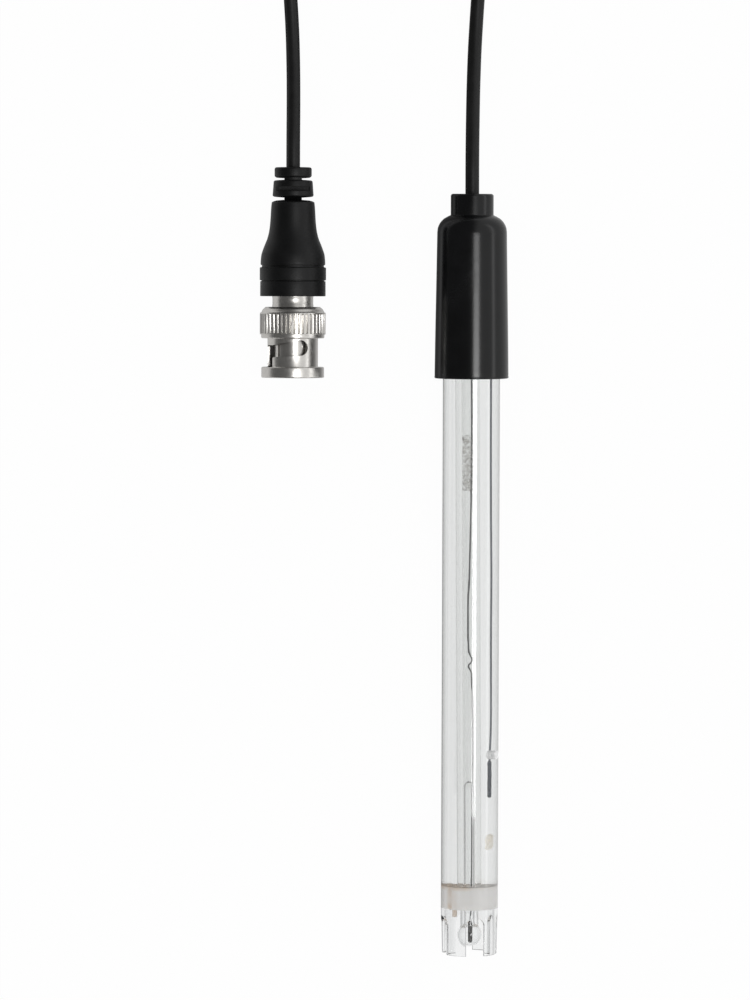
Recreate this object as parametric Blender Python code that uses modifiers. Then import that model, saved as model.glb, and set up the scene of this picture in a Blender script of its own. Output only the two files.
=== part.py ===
"""A combination pH electrode with its signal cord and bayonet connector, lying on a table.

Metres, +Z up. The electrode lies along Y: its glass tip points to -Y, its cap and cord to +Y.
It rests on the rim of the cap and on its tube, so it is tilted by a degree or so. The connector
lies beside it, parallel, and the length of cord between the two is wound in a neat coil.
The origin is under the middle of the electrode.
"""

import math

import bmesh
import bpy
from mathutils import Matrix, Vector

# Clearances between pieces that touch in the real thing
FIT_GAP = 0.0003
FINE_GAP = 0.0002

# Body tube, a clear pipe whose tip is slotted to guard the glass bulb
TUBE_DIAMETER = 0.0120
TUBE_WALL = 0.0010
TUBE_SHOWING = 0.1216
TIP_TAPER_LENGTH = 0.0095
TIP_TAPER = 0.0002
TIP_CHAMFER = 0.0003
GUARD_SLOTS = 4
GUARD_SLOT_WIDTH = 0.0034
GUARD_SLOT_LENGTH = 0.0084
GUARD_TURN = math.radians(12.5)
PORT_DIAMETER = 0.0019
PORT_FROM_TIP = 0.0424
PORT_TURN = math.radians(66.0)
PORT_PROUD = 0.0002
PLUG_REACH = 0.0015

# Cap, glossy black, with a short neck that the cord leaves by
CAP_RIM_WALL = 0.0014
CAP_DRAFT = 0.00042
CAP_LIP = 0.0001
CAP_LIP_LENGTH = 0.0006
CAP_LENGTH = 0.0341
CAP_ROOF = 0.0024
CAP_SHOULDER = 0.0028
CAP_CHAMBER_LENGTH = 0.0079
NECK_WALL = 0.00275
NECK_LENGTH = 0.0046
NECK_ROUND = 0.0005

# Glass stem with its bulb, carried by the seal and the stopper
STEM_DIAMETER = 0.0038
STEM_BORE = 0.0017
STEM_LEAN = math.radians(0.34)
STEM_ABOVE_STOPPER = 0.0012
BULB_DIAMETER = 0.0050
BULB_WALL = 0.0004
BULB_RECESS = 0.0017

# Seal, wick, stopper and potting
SEAL_FROM_TIP = 0.00985
SEAL_LENGTH = 0.00465
WICK_DIAMETER = 0.00095
WICK_BELOW_SEAL = 0.0014
WICK_ABOVE_SEAL = 0.0005
STOPPER_PLUG = 0.0075
STOPPER_FLANGE = 0.0012
POTTING_OUTSIDE_WIRE = 0.00073

# Wires and their coated ends. The wick and the reference wire stand RING_FROM_STEM off the stem
RING_FROM_STEM = 0.0012
INNER_WIRE_DIAMETER = 0.0003
INNER_ELEMENT_DIAMETER = 0.00095
INNER_ELEMENT_LENGTH = 0.0049
INNER_ELEMENT_FROM_BULB = 0.0005
REFERENCE_WIRE_DIAMETER = 0.00036
REFERENCE_ELEMENT_DIAMETER = 0.0006
REFERENCE_ELEMENT_FROM_TIP = 0.0332
REFERENCE_ELEMENT_LENGTH = 0.0080
REFERENCE_WIRE_ABOVE_STOPPER = 0.0030

# The inner wire wanders inside the bore: (distance from the tip, offset from the bore's axis).
# The zigzag a third of the way up is a kink in the real wire.
INNER_WIRE_WANDER = (
    (0.0300, 0.00030),
    (0.0450, 0.00045),
    (0.0540, 0.00035),
    (0.0597, 0.00012),
    (0.0613, -0.00028),
    (0.0623, 0.00036),
    (0.0643, -0.00020),
    (0.0700, -0.00018),
    (0.0800, 0.00005),
    (0.0950, 0.00035),
    (0.1150, 0.00048),
    (0.1250, 0.00030),
)

# Cord: a thin coax, and the stripped ends of its conductor
CORD_DIAMETER = 0.0029
DIELECTRIC_DIAMETER = 0.0015
CONDUCTOR_DIAMETER = 0.00046
TAIL_JACKET_IN_CHAMBER = 0.0008
TAIL_DIELECTRIC = 0.0010
TAIL_CONDUCTOR = 0.0010
SPLICE_WALL = 0.0003
SPLICE_LENGTH = 0.0026

# Connector place: its axis lies beside the electrode, its mating face at CONNECTOR_FRONT
CONNECTOR_X = -0.0376
CONNECTOR_FRONT = 0.04145

# Coupling nut, from its mating face back
NUT_BORE = 0.00972
NUT_BARREL_WALL = 0.00044
NUT_FLANGE_RISE = 0.0013
NUT_FLANGE_LENGTH = 0.00225
NUT_BARREL_LENGTH = 0.00605
NUT_COLLAR_LENGTH = 0.0008
NUT_KNURL_LENGTH = 0.0045
NUT_TAIL_LENGTH = 0.00126
NUT_KNURL_DIAMETER = 0.01384
NUT_FLUTES = 48
NUT_FLUTE_DEPTH = 0.00025
NUT_FLUTE_WIDTH = 0.00048
NUT_COLLAR_STEP = 0.00028
NUT_TAIL_TAPER = 0.0005
NUT_CHAMBER = 0.0112
NUT_GROOVE_DEPTH = 0.00055
NUT_EDGE = 0.0002

# Bayonet slots, on the unrolled barrel: the entry is cut along the axis, the ramp climbs to
# a round seat for the stud
SLOT_COUNT = 2
SLOT_ENTRY_TURN = math.radians(-66.0)
SLOT_SWEEP = math.radians(86.0)
SLOT_WIDTH = 0.0025
SLOT_SEAT_RADIUS = 0.0016
SLOT_SEAT_FROM_FACE = 0.0063
SLOT_RAMP_START = 0.0056
SLOT_CORNER = 0.0004
STUD_GROOVE_DEPTH = 0.0007

# Connector body and what it holds
NUT_TRAVEL = 0.0008
BODY_FLANGE_LENGTH = 0.0009
BODY_HUB_LENGTH = 0.0010
BODY_BARREL_DIAMETER = 0.00865
BODY_BARREL_LENGTH = 0.0098
BODY_BARREL_WALL = 0.0020
CRIMP_TUBE_DIAMETER = 0.0047
CRIMP_TUBE_LENGTH = 0.0062
CONTACT_WALL = 0.00055
CONTACT_DIAMETER = 0.0081
CONTACT_RECESS = 0.0013
CONTACT_SLOTS = 4
CONTACT_SLOT_WIDTH = 0.00045
CONTACT_SLOT_LENGTH = 0.0056
CONTACT_SEAT = 0.0020
CONTACT_BULGE = 0.0001
INSULATOR_NOSE = 0.0030
INSULATOR_TAIL = 0.0050
INSULATOR_TAIL_DIAMETER = 0.0040
PIN_DIAMETER = 0.00135
PIN_CUP_DIAMETER = 0.0019
PIN_RECESS = 0.0019
PIN_CUP_DEPTH = 0.0025
PIN_CUP_LENGTH = 0.0045
GASKET_THICKNESS = 0.0008
WAVE_RING_WIDTH = 0.00078
WAVE_RING_THICKNESS = 0.00018
WAVE_COUNT = 3
WASHER_THICKNESS = 0.0004
RETAINER_THICKNESS = 0.0004
RETAINER_OPENING = 0.0014
FERRULE_WALL = 0.0005
FERRULE_LENGTH = 0.0058

# Boot, moulded over the back of the connector and the cord
BOOT_BACK_OF_NUT = 0.00224
BOOT_BAND_DIAMETER = 0.01377
BOOT_BAND_LENGTH = 0.0032
BOOT_COLLAR_DIAMETER = 0.01396
BOOT_COLLAR_LENGTH = 0.00275
BOOT_GROOVE = 0.0003
BOOT_GROOVE_DEPTH = 0.0003
BOOT_BELL_DIAMETER = 0.0136
BOOT_BELL_LENGTH = 0.0133
BOOT_NECK_DIAMETER = 0.0090
BOOT_WEB_WALL = 0.00045
BOOT_LOWER_SLOT = 0.0010
BOOT_UPPER_SLOT = 0.0007
BOOT_WINDOW = 0.0010
BOOT_LOWER_RING_DIAMETER = 0.0086
BOOT_LOWER_RING_LENGTH = 0.0034
BOOT_UPPER_RING_DIAMETER = 0.00785
BOOT_UPPER_RING_LENGTH = 0.0021
BOOT_RING_ROUND = 0.0004

# Coil: turns lie in rows of COIL_COLUMNS and one less, nested on each other
COIL_X = -0.0188
COIL_Y = 0.1680
COIL_MEAN_RADIUS = 0.0174
COIL_COLUMNS = 5
COIL_ROWS = 4
TIE_WIDTH = 0.0140
TIE_THICKNESS = 0.0008

# The cord's route on the table between the cap and the coil, and between the boot and the coil
ROUTE_FROM_CAP = (
    (0.0000, 0.0880, 0.00800),
    (0.0001, 0.0960, 0.00600),
    (0.0003, 0.1045, 0.00330),
    (0.0007, 0.1140, 0.00165),
    (0.0016, 0.1270, 0.00147),
    (0.0032, 0.1410, 0.00147),
)
ROUTE_TO_BOOT = (
    (-0.0376, 0.0920, 0.00660),
    (-0.0376, 0.0990, 0.00480),
    (-0.0377, 0.1070, 0.00235),
    (-0.0380, 0.1160, 0.00150),
    (-0.0387, 0.1260, 0.00180),
    (-0.0398, 0.1360, 0.00380),
    (-0.0408, 0.1460, 0.00660),
)
ROUTE_STEP = 0.0065

# Facets
LARGE_STEPS = 36
MEDIUM_STEPS = 28
RING_STEPS = 24
SMALL_STEPS = 20
FINE_STEPS = 12
ARC_STEPS = 4
SHARP_ANGLE = math.radians(32.0)
MERGE = 1e-7

# Sizes that follow from the ones above, along the electrode from its tip
TUBE_RADIUS = TUBE_DIAMETER / 2
TUBE_BORE_RADIUS = TUBE_RADIUS - TUBE_WALL
CAP_RIM = TUBE_SHOWING
CAP_RIM_RADIUS = TUBE_RADIUS + FIT_GAP + CAP_RIM_WALL
CAP_LIP_RADIUS = CAP_RIM_RADIUS + CAP_LIP
CAP_TOP_RADIUS = CAP_RIM_RADIUS - CAP_DRAFT
CAP_TOP = CAP_RIM + CAP_LENGTH
CHAMBER_TOP = CAP_TOP - CAP_ROOF
CHAMBER_BOTTOM = CHAMBER_TOP - CAP_CHAMBER_LENGTH
STOPPER_TOP = CHAMBER_BOTTOM - FIT_GAP
TUBE_TOP = STOPPER_TOP - STOPPER_FLANGE - FIT_GAP
NECK_TOP = CAP_TOP + NECK_LENGTH
CORD_RADIUS = CORD_DIAMETER / 2
NECK_RADIUS = CORD_RADIUS + FIT_GAP + NECK_WALL
STEM_RADIUS = STEM_DIAMETER / 2
STEM_BORE_RADIUS = STEM_BORE / 2
BULB_RADIUS = BULB_DIAMETER / 2
BULB_CENTRE = BULB_RECESS + BULB_RADIUS
SEAL_TOP = SEAL_FROM_TIP + SEAL_LENGTH
SEAL_MIDDLE = SEAL_FROM_TIP + SEAL_LENGTH / 2
STOPPER_BOTTOM = TUBE_TOP - STOPPER_PLUG
STEM_TOP = STOPPER_TOP + STEM_ABOVE_STOPPER
RING_RADIUS = STEM_RADIUS + RING_FROM_STEM
CHAMBER_RADIUS = RING_RADIUS + POTTING_OUTSIDE_WIRE + FIT_GAP
REFERENCE_ELEMENT_TOP = REFERENCE_ELEMENT_FROM_TIP + REFERENCE_ELEMENT_LENGTH
INNER_ELEMENT_BOTTOM = BULB_RECESS + BULB_WALL + INNER_ELEMENT_FROM_BULB
INNER_ELEMENT_TOP = INNER_ELEMENT_BOTTOM + INNER_ELEMENT_LENGTH
TAIL_JACKET_END = CHAMBER_TOP - TAIL_JACKET_IN_CHAMBER
TAIL_DIELECTRIC_END = TAIL_JACKET_END - TAIL_DIELECTRIC
TAIL_CONDUCTOR_END = TAIL_DIELECTRIC_END - TAIL_CONDUCTOR
SPLICE_TOP = TAIL_DIELECTRIC_END - FINE_GAP
SPLICE_BOTTOM = SPLICE_TOP - SPLICE_LENGTH
INNER_WIRE_TOP = TAIL_CONDUCTOR_END - FINE_GAP
REST_TILT = math.atan2(CAP_LIP_RADIUS - TUBE_RADIUS, CAP_RIM - TIP_TAPER_LENGTH)
TIP_HEIGHT = TUBE_RADIUS * math.cos(REST_TILT) - TIP_TAPER_LENGTH * math.sin(REST_TILT)
TIP_PLACE = -(
    NECK_TOP * math.cos(REST_TILT)
    + (NECK_RADIUS - TUBE_RADIUS + TIP_TAPER) * math.sin(REST_TILT)
) / 2

# And along the connector from its mating face
NUT_BORE_RADIUS = NUT_BORE / 2
NUT_BARREL_RADIUS = NUT_BORE_RADIUS + NUT_BARREL_WALL
NUT_FLANGE_RADIUS = NUT_BARREL_RADIUS + NUT_FLANGE_RISE
NUT_KNURL_RADIUS = NUT_KNURL_DIAMETER / 2
NUT_COLLAR_RADIUS = NUT_KNURL_RADIUS - NUT_COLLAR_STEP
NUT_COLLAR = NUT_FLANGE_LENGTH + NUT_BARREL_LENGTH
NUT_KNURL = NUT_COLLAR + NUT_COLLAR_LENGTH
NUT_TAIL = NUT_KNURL + NUT_KNURL_LENGTH
NUT_BACK = NUT_TAIL + NUT_TAIL_LENGTH
NUT_CHAMBER_RADIUS = NUT_CHAMBER / 2
NUT_GROOVE_RADIUS = NUT_CHAMBER_RADIUS + NUT_GROOVE_DEPTH
RETAINER_BACK = NUT_BACK - NUT_TAIL_LENGTH * 0.7
RETAINER_FRONT = RETAINER_BACK - RETAINER_THICKNESS
WASHER_BACK = RETAINER_FRONT - FINE_GAP
WASHER_FRONT = WASHER_BACK - WASHER_THICKNESS
WAVE_SPACE = NUT_TRAVEL + WAVE_RING_THICKNESS + 3 * FINE_GAP
BODY_FLANGE_BACK = WASHER_FRONT - WAVE_SPACE
BODY_FLANGE_FRONT = BODY_FLANGE_BACK - BODY_FLANGE_LENGTH
NUT_STEP = BODY_FLANGE_FRONT - FINE_GAP
BODY_FLANGE_RADIUS = NUT_CHAMBER_RADIUS - FINE_GAP
BODY_HUB_RADIUS = NUT_BORE_RADIUS - FINE_GAP
BODY_HUB_FRONT = BODY_FLANGE_FRONT - BODY_HUB_LENGTH
BODY_BARREL_RADIUS = BODY_BARREL_DIAMETER / 2
BODY_BARREL_BACK = BODY_FLANGE_BACK + BODY_BARREL_LENGTH
CONTACT_RADIUS = CONTACT_DIAMETER / 2
CONTACT_BORE_RADIUS = CONTACT_RADIUS - CONTACT_WALL
CONTACT_BACK = BODY_HUB_FRONT + CONTACT_SEAT
CONTACT_SOCKET_BOTTOM = CONTACT_BACK + FINE_GAP
INSULATOR_FRONT = CONTACT_BACK - INSULATOR_NOSE
INSULATOR_RADIUS = CONTACT_BORE_RADIUS - FINE_GAP
INSULATOR_TAIL_RADIUS = INSULATOR_TAIL_DIAMETER / 2
INSULATOR_BACK = CONTACT_BACK + INSULATOR_TAIL
BODY_BORE_BOTTOM = INSULATOR_BACK + FINE_GAP
PIN_RADIUS = PIN_DIAMETER / 2
PIN_CUP_RADIUS = PIN_CUP_DIAMETER / 2
PIN_BACK = INSULATOR_BACK - FINE_GAP
PIN_CUP_FRONT = PIN_BACK - PIN_CUP_LENGTH
DIELECTRIC_RADIUS = DIELECTRIC_DIAMETER / 2
CONDUCTOR_RADIUS = CONDUCTOR_DIAMETER / 2
CRIMP_TUBE_RADIUS = CRIMP_TUBE_DIAMETER / 2
CRIMP_TUBE_BACK = BODY_BARREL_BACK + CRIMP_TUBE_LENGTH
FERRULE_BORE_RADIUS = CRIMP_TUBE_RADIUS + FINE_GAP
FERRULE_RADIUS = FERRULE_BORE_RADIUS + FERRULE_WALL
FERRULE_FRONT = BODY_BARREL_BACK + FINE_GAP
FERRULE_BACK = FERRULE_FRONT + FERRULE_LENGTH
BOOT_FRONT = NUT_BACK + BOOT_BACK_OF_NUT
BOOT_BAND_BACK = BOOT_FRONT + BOOT_BAND_LENGTH
BOOT_COLLAR_FRONT = BOOT_BAND_BACK + BOOT_GROOVE
BOOT_COLLAR_BACK = BOOT_COLLAR_FRONT + BOOT_COLLAR_LENGTH
BOOT_BELL_FRONT = BOOT_COLLAR_BACK + BOOT_GROOVE
BOOT_BELL_BACK = BOOT_BELL_FRONT + BOOT_BELL_LENGTH
BOOT_LOWER_RING_FRONT = BOOT_BELL_BACK + BOOT_LOWER_SLOT
BOOT_LOWER_RING_BACK = BOOT_LOWER_RING_FRONT + BOOT_LOWER_RING_LENGTH
BOOT_UPPER_RING_FRONT = BOOT_LOWER_RING_BACK + BOOT_UPPER_SLOT
BOOT_BACK = BOOT_UPPER_RING_FRONT + BOOT_UPPER_RING_LENGTH
BOOT_WEB = CORD_RADIUS + BOOT_WEB_WALL
BOOT_HOLLOW_BACK = max(FERRULE_BACK, CRIMP_TUBE_BACK) + 2 * FIT_GAP
TAIL_BACK = BOOT_HOLLOW_BACK - FIT_GAP
CONNECTOR_RADIUS = max(BOOT_COLLAR_DIAMETER, BOOT_BAND_DIAMETER, NUT_KNURL_DIAMETER) / 2

# And round the coil
COIL_WIDTH = COIL_COLUMNS * CORD_DIAMETER
COIL_ROW_RISE = CORD_DIAMETER * math.sin(math.pi / 3)
COIL_HEIGHT = CORD_DIAMETER + (COIL_ROWS - 1) * COIL_ROW_RISE
COIL_OUTER = COIL_MEAN_RADIUS + COIL_WIDTH / 2
COIL_INNER = COIL_MEAN_RADIUS - COIL_WIDTH / 2
OUTER_TURN = COIL_OUTER - CORD_RADIUS
TOP_TURN = COIL_OUTER - CORD_DIAMETER
TOP_TURN_HEIGHT = CORD_RADIUS + (COIL_ROWS - 1) * COIL_ROW_RISE


# Scene, materials and helpers


def clear_scene():
    for old in list(bpy.data.objects):
        bpy.data.objects.remove(old, do_unlink=True)


def new_collection(name):
    collection = bpy.data.collections.new(name)
    bpy.context.scene.collection.children.link(collection)
    return collection


def finish(name, colour, roughness, metallic=0.0, clear=0.0, ior=1.45):
    """A plain Principled material."""
    material = bpy.data.materials.new(name)
    material.use_nodes = True
    shader = material.node_tree.nodes["Principled BSDF"]
    shader.inputs["Base Color"].default_value = (*colour, 1.0)
    shader.inputs["Roughness"].default_value = roughness
    shader.inputs["Metallic"].default_value = metallic
    shader.inputs["Transmission Weight"].default_value = clear
    shader.inputs["IOR"].default_value = ior
    material.diffuse_color = (*colour, 1.0)
    return material


def empty(name, collection, location, rotation=(0.0, 0.0, 0.0), parent=None):
    obj = bpy.data.objects.new(name, None)
    obj.location = location
    obj.rotation_euler = rotation
    obj.parent = parent
    obj.empty_display_size = 0.005
    collection.objects.link(obj)
    return obj


def mesh_object(name, mesh, collection, parent=None, material=None):
    obj = bpy.data.objects.new(name, mesh)
    obj.parent = parent
    if material:
        mesh.materials.append(material)
    collection.objects.link(obj)
    return obj


def arc(centre, radius, start, end, steps=ARC_STEPS):
    """Points on an arc in the (radius, along) plane, angles in degrees from the radial axis."""
    turns = [math.radians(start + (end - start) * i / steps) for i in range(steps + 1)]
    return [
        (centre[0] + radius * math.cos(turn), centre[1] + radius * math.sin(turn))
        for turn in turns
    ]


def turned(name, outline, steps, collection, parent, material=None):
    """A solid turned about its own Y axis. The outline's (radius, along) points run down the
    outer side, from high to low, and back up the bore of a hollow piece."""
    mesh = bpy.data.meshes.new(name)
    shape = bmesh.new()
    points = [shape.verts.new((radius, along, 0.0)) for radius, along in outline]
    for first, second in zip(points, points[1:]):
        shape.edges.new((first, second))
    if outline[0][0] > 0.0:
        shape.edges.new((points[-1], points[0]))
    shape.to_mesh(mesh)
    shape.free()
    obj = mesh_object(name, mesh, collection, parent, material)
    screw = obj.modifiers.new("Turn", "SCREW")
    screw.axis = "Y"
    screw.angle = 2 * math.pi
    screw.steps = steps
    screw.render_steps = steps
    screw.use_merge_vertices = True
    screw.merge_threshold = MERGE
    return obj


def solid_outline(radius, low, high, edge=0.0):
    """The outline of a plain disc or rod, with its two edges broken."""
    return [
        (0.0, high),
        (radius - edge, high),
        (radius, high - edge),
        (radius, low + edge),
        (radius - edge, low),
        (0.0, low),
    ] if edge else [(0.0, high), (radius, high), (radius, low), (0.0, low)]


def ring_outline(outer, inner, low, high):
    return [(outer, high), (outer, low), (inner, low), (inner, high)]


def cutter_object(name, shape, cutters, parent=None):
    """Turns a bmesh into a hidden cutter."""
    bmesh.ops.recalc_face_normals(shape, faces=shape.faces)
    mesh = bpy.data.meshes.new(name)
    shape.to_mesh(mesh)
    shape.free()
    obj = mesh_object(name, mesh, cutters, parent)
    obj.hide_render = True
    obj.display_type = "WIRE"
    return obj


def add_rod(shape, radius, start, end, steps=SMALL_STEPS):
    """Adds a cylinder from one point to another."""
    start, end = Vector(start), Vector(end)
    turn = (end - start).to_track_quat("Z", "Y").to_matrix().to_4x4()
    bmesh.ops.create_cone(
        shape,
        cap_ends=True,
        segments=steps,
        radius1=radius,
        radius2=radius,
        depth=(end - start).length,
        matrix=Matrix.Translation((start + end) / 2) @ turn,
    )


def add_box(shape, low, high, turn=None):
    """Adds a box between two corners, turned about the Y axis if asked."""
    low, high = Vector(low), Vector(high)
    size = Matrix.Diagonal((*(high - low), 1.0))
    place = Matrix.Translation((low + high) / 2) @ size
    bmesh.ops.create_cube(shape, size=1.0, matrix=(turn or Matrix.Identity(4)) @ place)


def about_axis(turn):
    """A turn about the Y axis, measured from +Z towards +X."""
    return Matrix.Rotation(turn, 4, "Y")


def cut(obj, cutter):
    modifier = obj.modifiers.new(cutter.name, "BOOLEAN")
    modifier.operation = "DIFFERENCE"
    modifier.solver = "EXACT"
    modifier.object = cutter


def rod_cutter(name, radius, start, end, cutters, parent):
    shape = bmesh.new()
    add_rod(shape, radius, start, end)
    return cutter_object(name, shape, cutters, parent)


def smooth_route(points, step):
    """Points about a step apart on a smooth curve through the given ones."""
    points = [Vector(point) for point in points]
    ends = [2 * points[0] - points[1], *points, 2 * points[-1] - points[-2]]
    route = [points[0]]
    for before, here, there, after in zip(ends, ends[1:], ends[2:], ends[3:]):
        pieces = max(1, round((there - here).length / step))
        for i in range(1, pieces + 1):
            share = i / pieces
            route.append(
                0.5
                * (
                    2 * here
                    + (there - before) * share
                    + (2 * before - 5 * here + 4 * there - after) * share**2
                    + (3 * here - before - 3 * there + after) * share**3
                )
            )
    return route


def tube(name, points, diameter, collection, parent, material, resolution=2):
    """A round wire or cord along the given points."""
    curve = bpy.data.curves.new(name, "CURVE")
    curve.dimensions = "3D"
    curve.bevel_depth = diameter / 2
    curve.bevel_resolution = resolution
    curve.use_fill_caps = True
    spline = curve.splines.new("POLY")
    spline.points.add(len(points) - 1)
    for point, place in zip(spline.points, points):
        point.co = (*place, 1.0)
    curve.materials.append(material)
    obj = bpy.data.objects.new(name, curve)
    obj.parent = parent
    collection.objects.link(obj)
    return obj


def set_modifiers(collection):
    """Makes every part's shape final and shades its round faces smooth."""
    bpy.context.view_layer.update()
    graph = bpy.context.evaluated_depsgraph_get()
    for obj in [part for part in collection.objects if part.type == "MESH"]:
        mesh = bpy.data.meshes.new_from_object(obj.evaluated_get(graph))
        mesh.name = obj.name
        mesh.shade_smooth()
        mesh.set_sharp_from_angle(angle=SHARP_ANGLE)
        obj.modifiers.clear()
        obj.data = mesh


# Electrode


def port_point(radius):
    """A point on the fill hole's axis, which looks outward at PORT_TURN from +Z towards +X."""
    return (radius * math.sin(PORT_TURN), PORT_FROM_TIP, radius * math.cos(PORT_TURN))


def body_tube(parts, cutters, axis, port_hole, clear_plastic):
    """Clear pipe: full bore, slightly tapered tip with arched guard slots, and the fill hole."""
    tip_radius = TUBE_RADIUS - TIP_TAPER
    outline = [
        (TUBE_RADIUS, TUBE_TOP),
        (TUBE_RADIUS, TIP_TAPER_LENGTH),
        (tip_radius, TIP_CHAMFER),
        (tip_radius - TIP_CHAMFER, 0.0),
        (TUBE_BORE_RADIUS, 0.0),
        (TUBE_BORE_RADIUS, TUBE_TOP),
    ]
    tube_body = turned("body_tube", outline, LARGE_STEPS, parts, axis, clear_plastic)

    shape = bmesh.new()
    half = GUARD_SLOT_WIDTH / 2
    spring_line = GUARD_SLOT_LENGTH - half
    arch = [(-half, -TUBE_WALL), (half, -TUBE_WALL)]
    arch += arc((0.0, spring_line), half, 0.0, 180.0, 2 * ARC_STEPS)
    for i in range(GUARD_SLOTS):
        face = shape.faces.new(
            [shape.verts.new((x, y, TUBE_BORE_RADIUS - TUBE_WALL)) for x, y in arch]
        )
        grown = bmesh.ops.extrude_face_region(shape, geom=[face])["geom"]
        raised = [item for item in grown if isinstance(item, bmesh.types.BMVert)]
        bmesh.ops.translate(shape, verts=raised, vec=(0.0, 0.0, 3 * TUBE_WALL))
        own = raised + list(face.verts)
        turn = about_axis(GUARD_TURN + 2 * math.pi * i / GUARD_SLOTS)
        bmesh.ops.transform(shape, matrix=turn, verts=own)
    cut(tube_body, cutter_object("guard_slots", shape, cutters, axis))

    cut(tube_body, port_hole)


def fill_port_plug(parts, axis, clear_plastic):
    """Peg in the fill hole. It reaches a little way into the gel, in front of the wire."""
    length = PLUG_REACH + TUBE_WALL + PORT_PROUD
    plug = turned(
        "fill_port_plug",
        solid_outline(PORT_DIAMETER / 2, 0.0, length, PORT_PROUD / 2),
        SMALL_STEPS,
        parts,
        axis,
        clear_plastic,
    )
    plug.location = port_point(TUBE_BORE_RADIUS - PLUG_REACH)
    plug.rotation_euler = (math.pi / 2, PORT_TURN, 0.0)


def cable_cap(parts, axis, black_gloss):
    """Moulded cap: drafted sides, round shoulder, neck with a round edge, stepped hollow."""
    shoulder_centre = (CAP_TOP_RADIUS - CAP_SHOULDER, CAP_TOP - CAP_SHOULDER)
    neck_edge = (NECK_RADIUS - NECK_ROUND, NECK_TOP - NECK_ROUND)
    hole = CORD_RADIUS + FIT_GAP
    tube_hole = TUBE_RADIUS + FIT_GAP
    outline = arc(neck_edge, NECK_ROUND, 90.0, 0.0, 2)
    outline += [(NECK_RADIUS, CAP_TOP)]
    outline += arc(shoulder_centre, CAP_SHOULDER, 90.0, 0.0, ARC_STEPS + 1)
    outline += [
        (CAP_RIM_RADIUS, CAP_RIM + CAP_LIP_LENGTH),
        (CAP_LIP_RADIUS, CAP_RIM + CAP_LIP_LENGTH / 2),
        (CAP_LIP_RADIUS, CAP_RIM),
        (tube_hole, CAP_RIM),
        (tube_hole, CHAMBER_BOTTOM),
        (CHAMBER_RADIUS, CHAMBER_BOTTOM),
        (CHAMBER_RADIUS, CHAMBER_TOP),
        (hole, CHAMBER_TOP),
        (hole, NECK_TOP),
    ]
    turned("cable_cap", outline, LARGE_STEPS, parts, axis, black_gloss)


def glass_stem(parts, stem_axis, glass):
    """Glass tube whose end is blown into a bulb. It is open at the top."""
    place = -SEAL_MIDDLE
    bulb_bore = BULB_RADIUS - BULB_WALL
    outer_join = math.degrees(math.acos(STEM_RADIUS / BULB_RADIUS))
    inner_join = math.degrees(math.acos(STEM_BORE_RADIUS / bulb_bore))
    centre = (0.0, BULB_CENTRE + place)
    outline = [(STEM_RADIUS, STEM_TOP + place)]
    outline += arc(centre, BULB_RADIUS, outer_join, -90.0, 2 * ARC_STEPS)
    outer_count = len(outline)
    outline += arc(centre, bulb_bore, -90.0, inner_join, 2 * ARC_STEPS)
    outline += [(STEM_BORE_RADIUS, STEM_TOP + place)]
    outer = [(max(radius, 0.0), along) for radius, along in outline[:outer_count]]
    inner = [(max(radius, 0.0), along) for radius, along in outline[outer_count:]]
    mesh = bpy.data.meshes.new("glass_stem")
    shape = bmesh.new()
    for run in (outer, inner):
        points = [shape.verts.new((radius, along, 0.0)) for radius, along in run]
        for first, second in zip(points, points[1:]):
            shape.edges.new((first, second))
    shape.verts.ensure_lookup_table()
    shape.edges.new((shape.verts[len(shape.verts) - 1], shape.verts[0]))
    shape.to_mesh(mesh)
    shape.free()
    stem = mesh_object("glass_stem", mesh, parts, stem_axis, glass)
    screw = stem.modifiers.new("Turn", "SCREW")
    screw.axis = "Y"
    screw.angle = 2 * math.pi
    screw.steps = SMALL_STEPS
    screw.render_steps = SMALL_STEPS
    screw.use_merge_vertices = True
    screw.merge_threshold = MERGE


def lean_offset(along):
    """How far the leaning stem stands off the tube's axis at this distance from the tip."""
    return math.tan(STEM_LEAN) * (along - SEAL_MIDDLE)


def stem_cutter(name, cutters, stem_axis):
    """The stem with its clearance, cut through whatever the stem passes."""
    return rod_cutter(
        name,
        STEM_RADIUS + FIT_GAP,
        (0.0, -SEAL_LENGTH, 0.0),
        (0.0, STEM_TOP, 0.0),
        cutters,
        stem_axis,
    )


def seal_and_wick(parts, cutters, axis, stem_hole, seal_white, wick_beige):
    seal = turned(
        "lower_seal",
        solid_outline(TUBE_BORE_RADIUS - FIT_GAP, SEAL_FROM_TIP, SEAL_TOP),
        MEDIUM_STEPS,
        parts,
        axis,
        seal_white,
    )
    cut(seal, stem_hole)
    wick_low = SEAL_FROM_TIP - WICK_BELOW_SEAL
    wick_high = SEAL_TOP + WICK_ABOVE_SEAL
    wick_hole = rod_cutter(
        "wick_hole",
        WICK_DIAMETER / 2 + FINE_GAP,
        (-RING_RADIUS, wick_low - FIT_GAP, 0.0),
        (-RING_RADIUS, wick_high + FIT_GAP, 0.0),
        cutters,
        axis,
    )
    cut(seal, wick_hole)
    wick = turned(
        "junction_wick",
        solid_outline(WICK_DIAMETER / 2, wick_low, wick_high),
        FINE_STEPS,
        parts,
        axis,
        wick_beige,
    )
    wick.location = (-RING_RADIUS, 0.0, 0.0)
    return wick_hole


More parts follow.
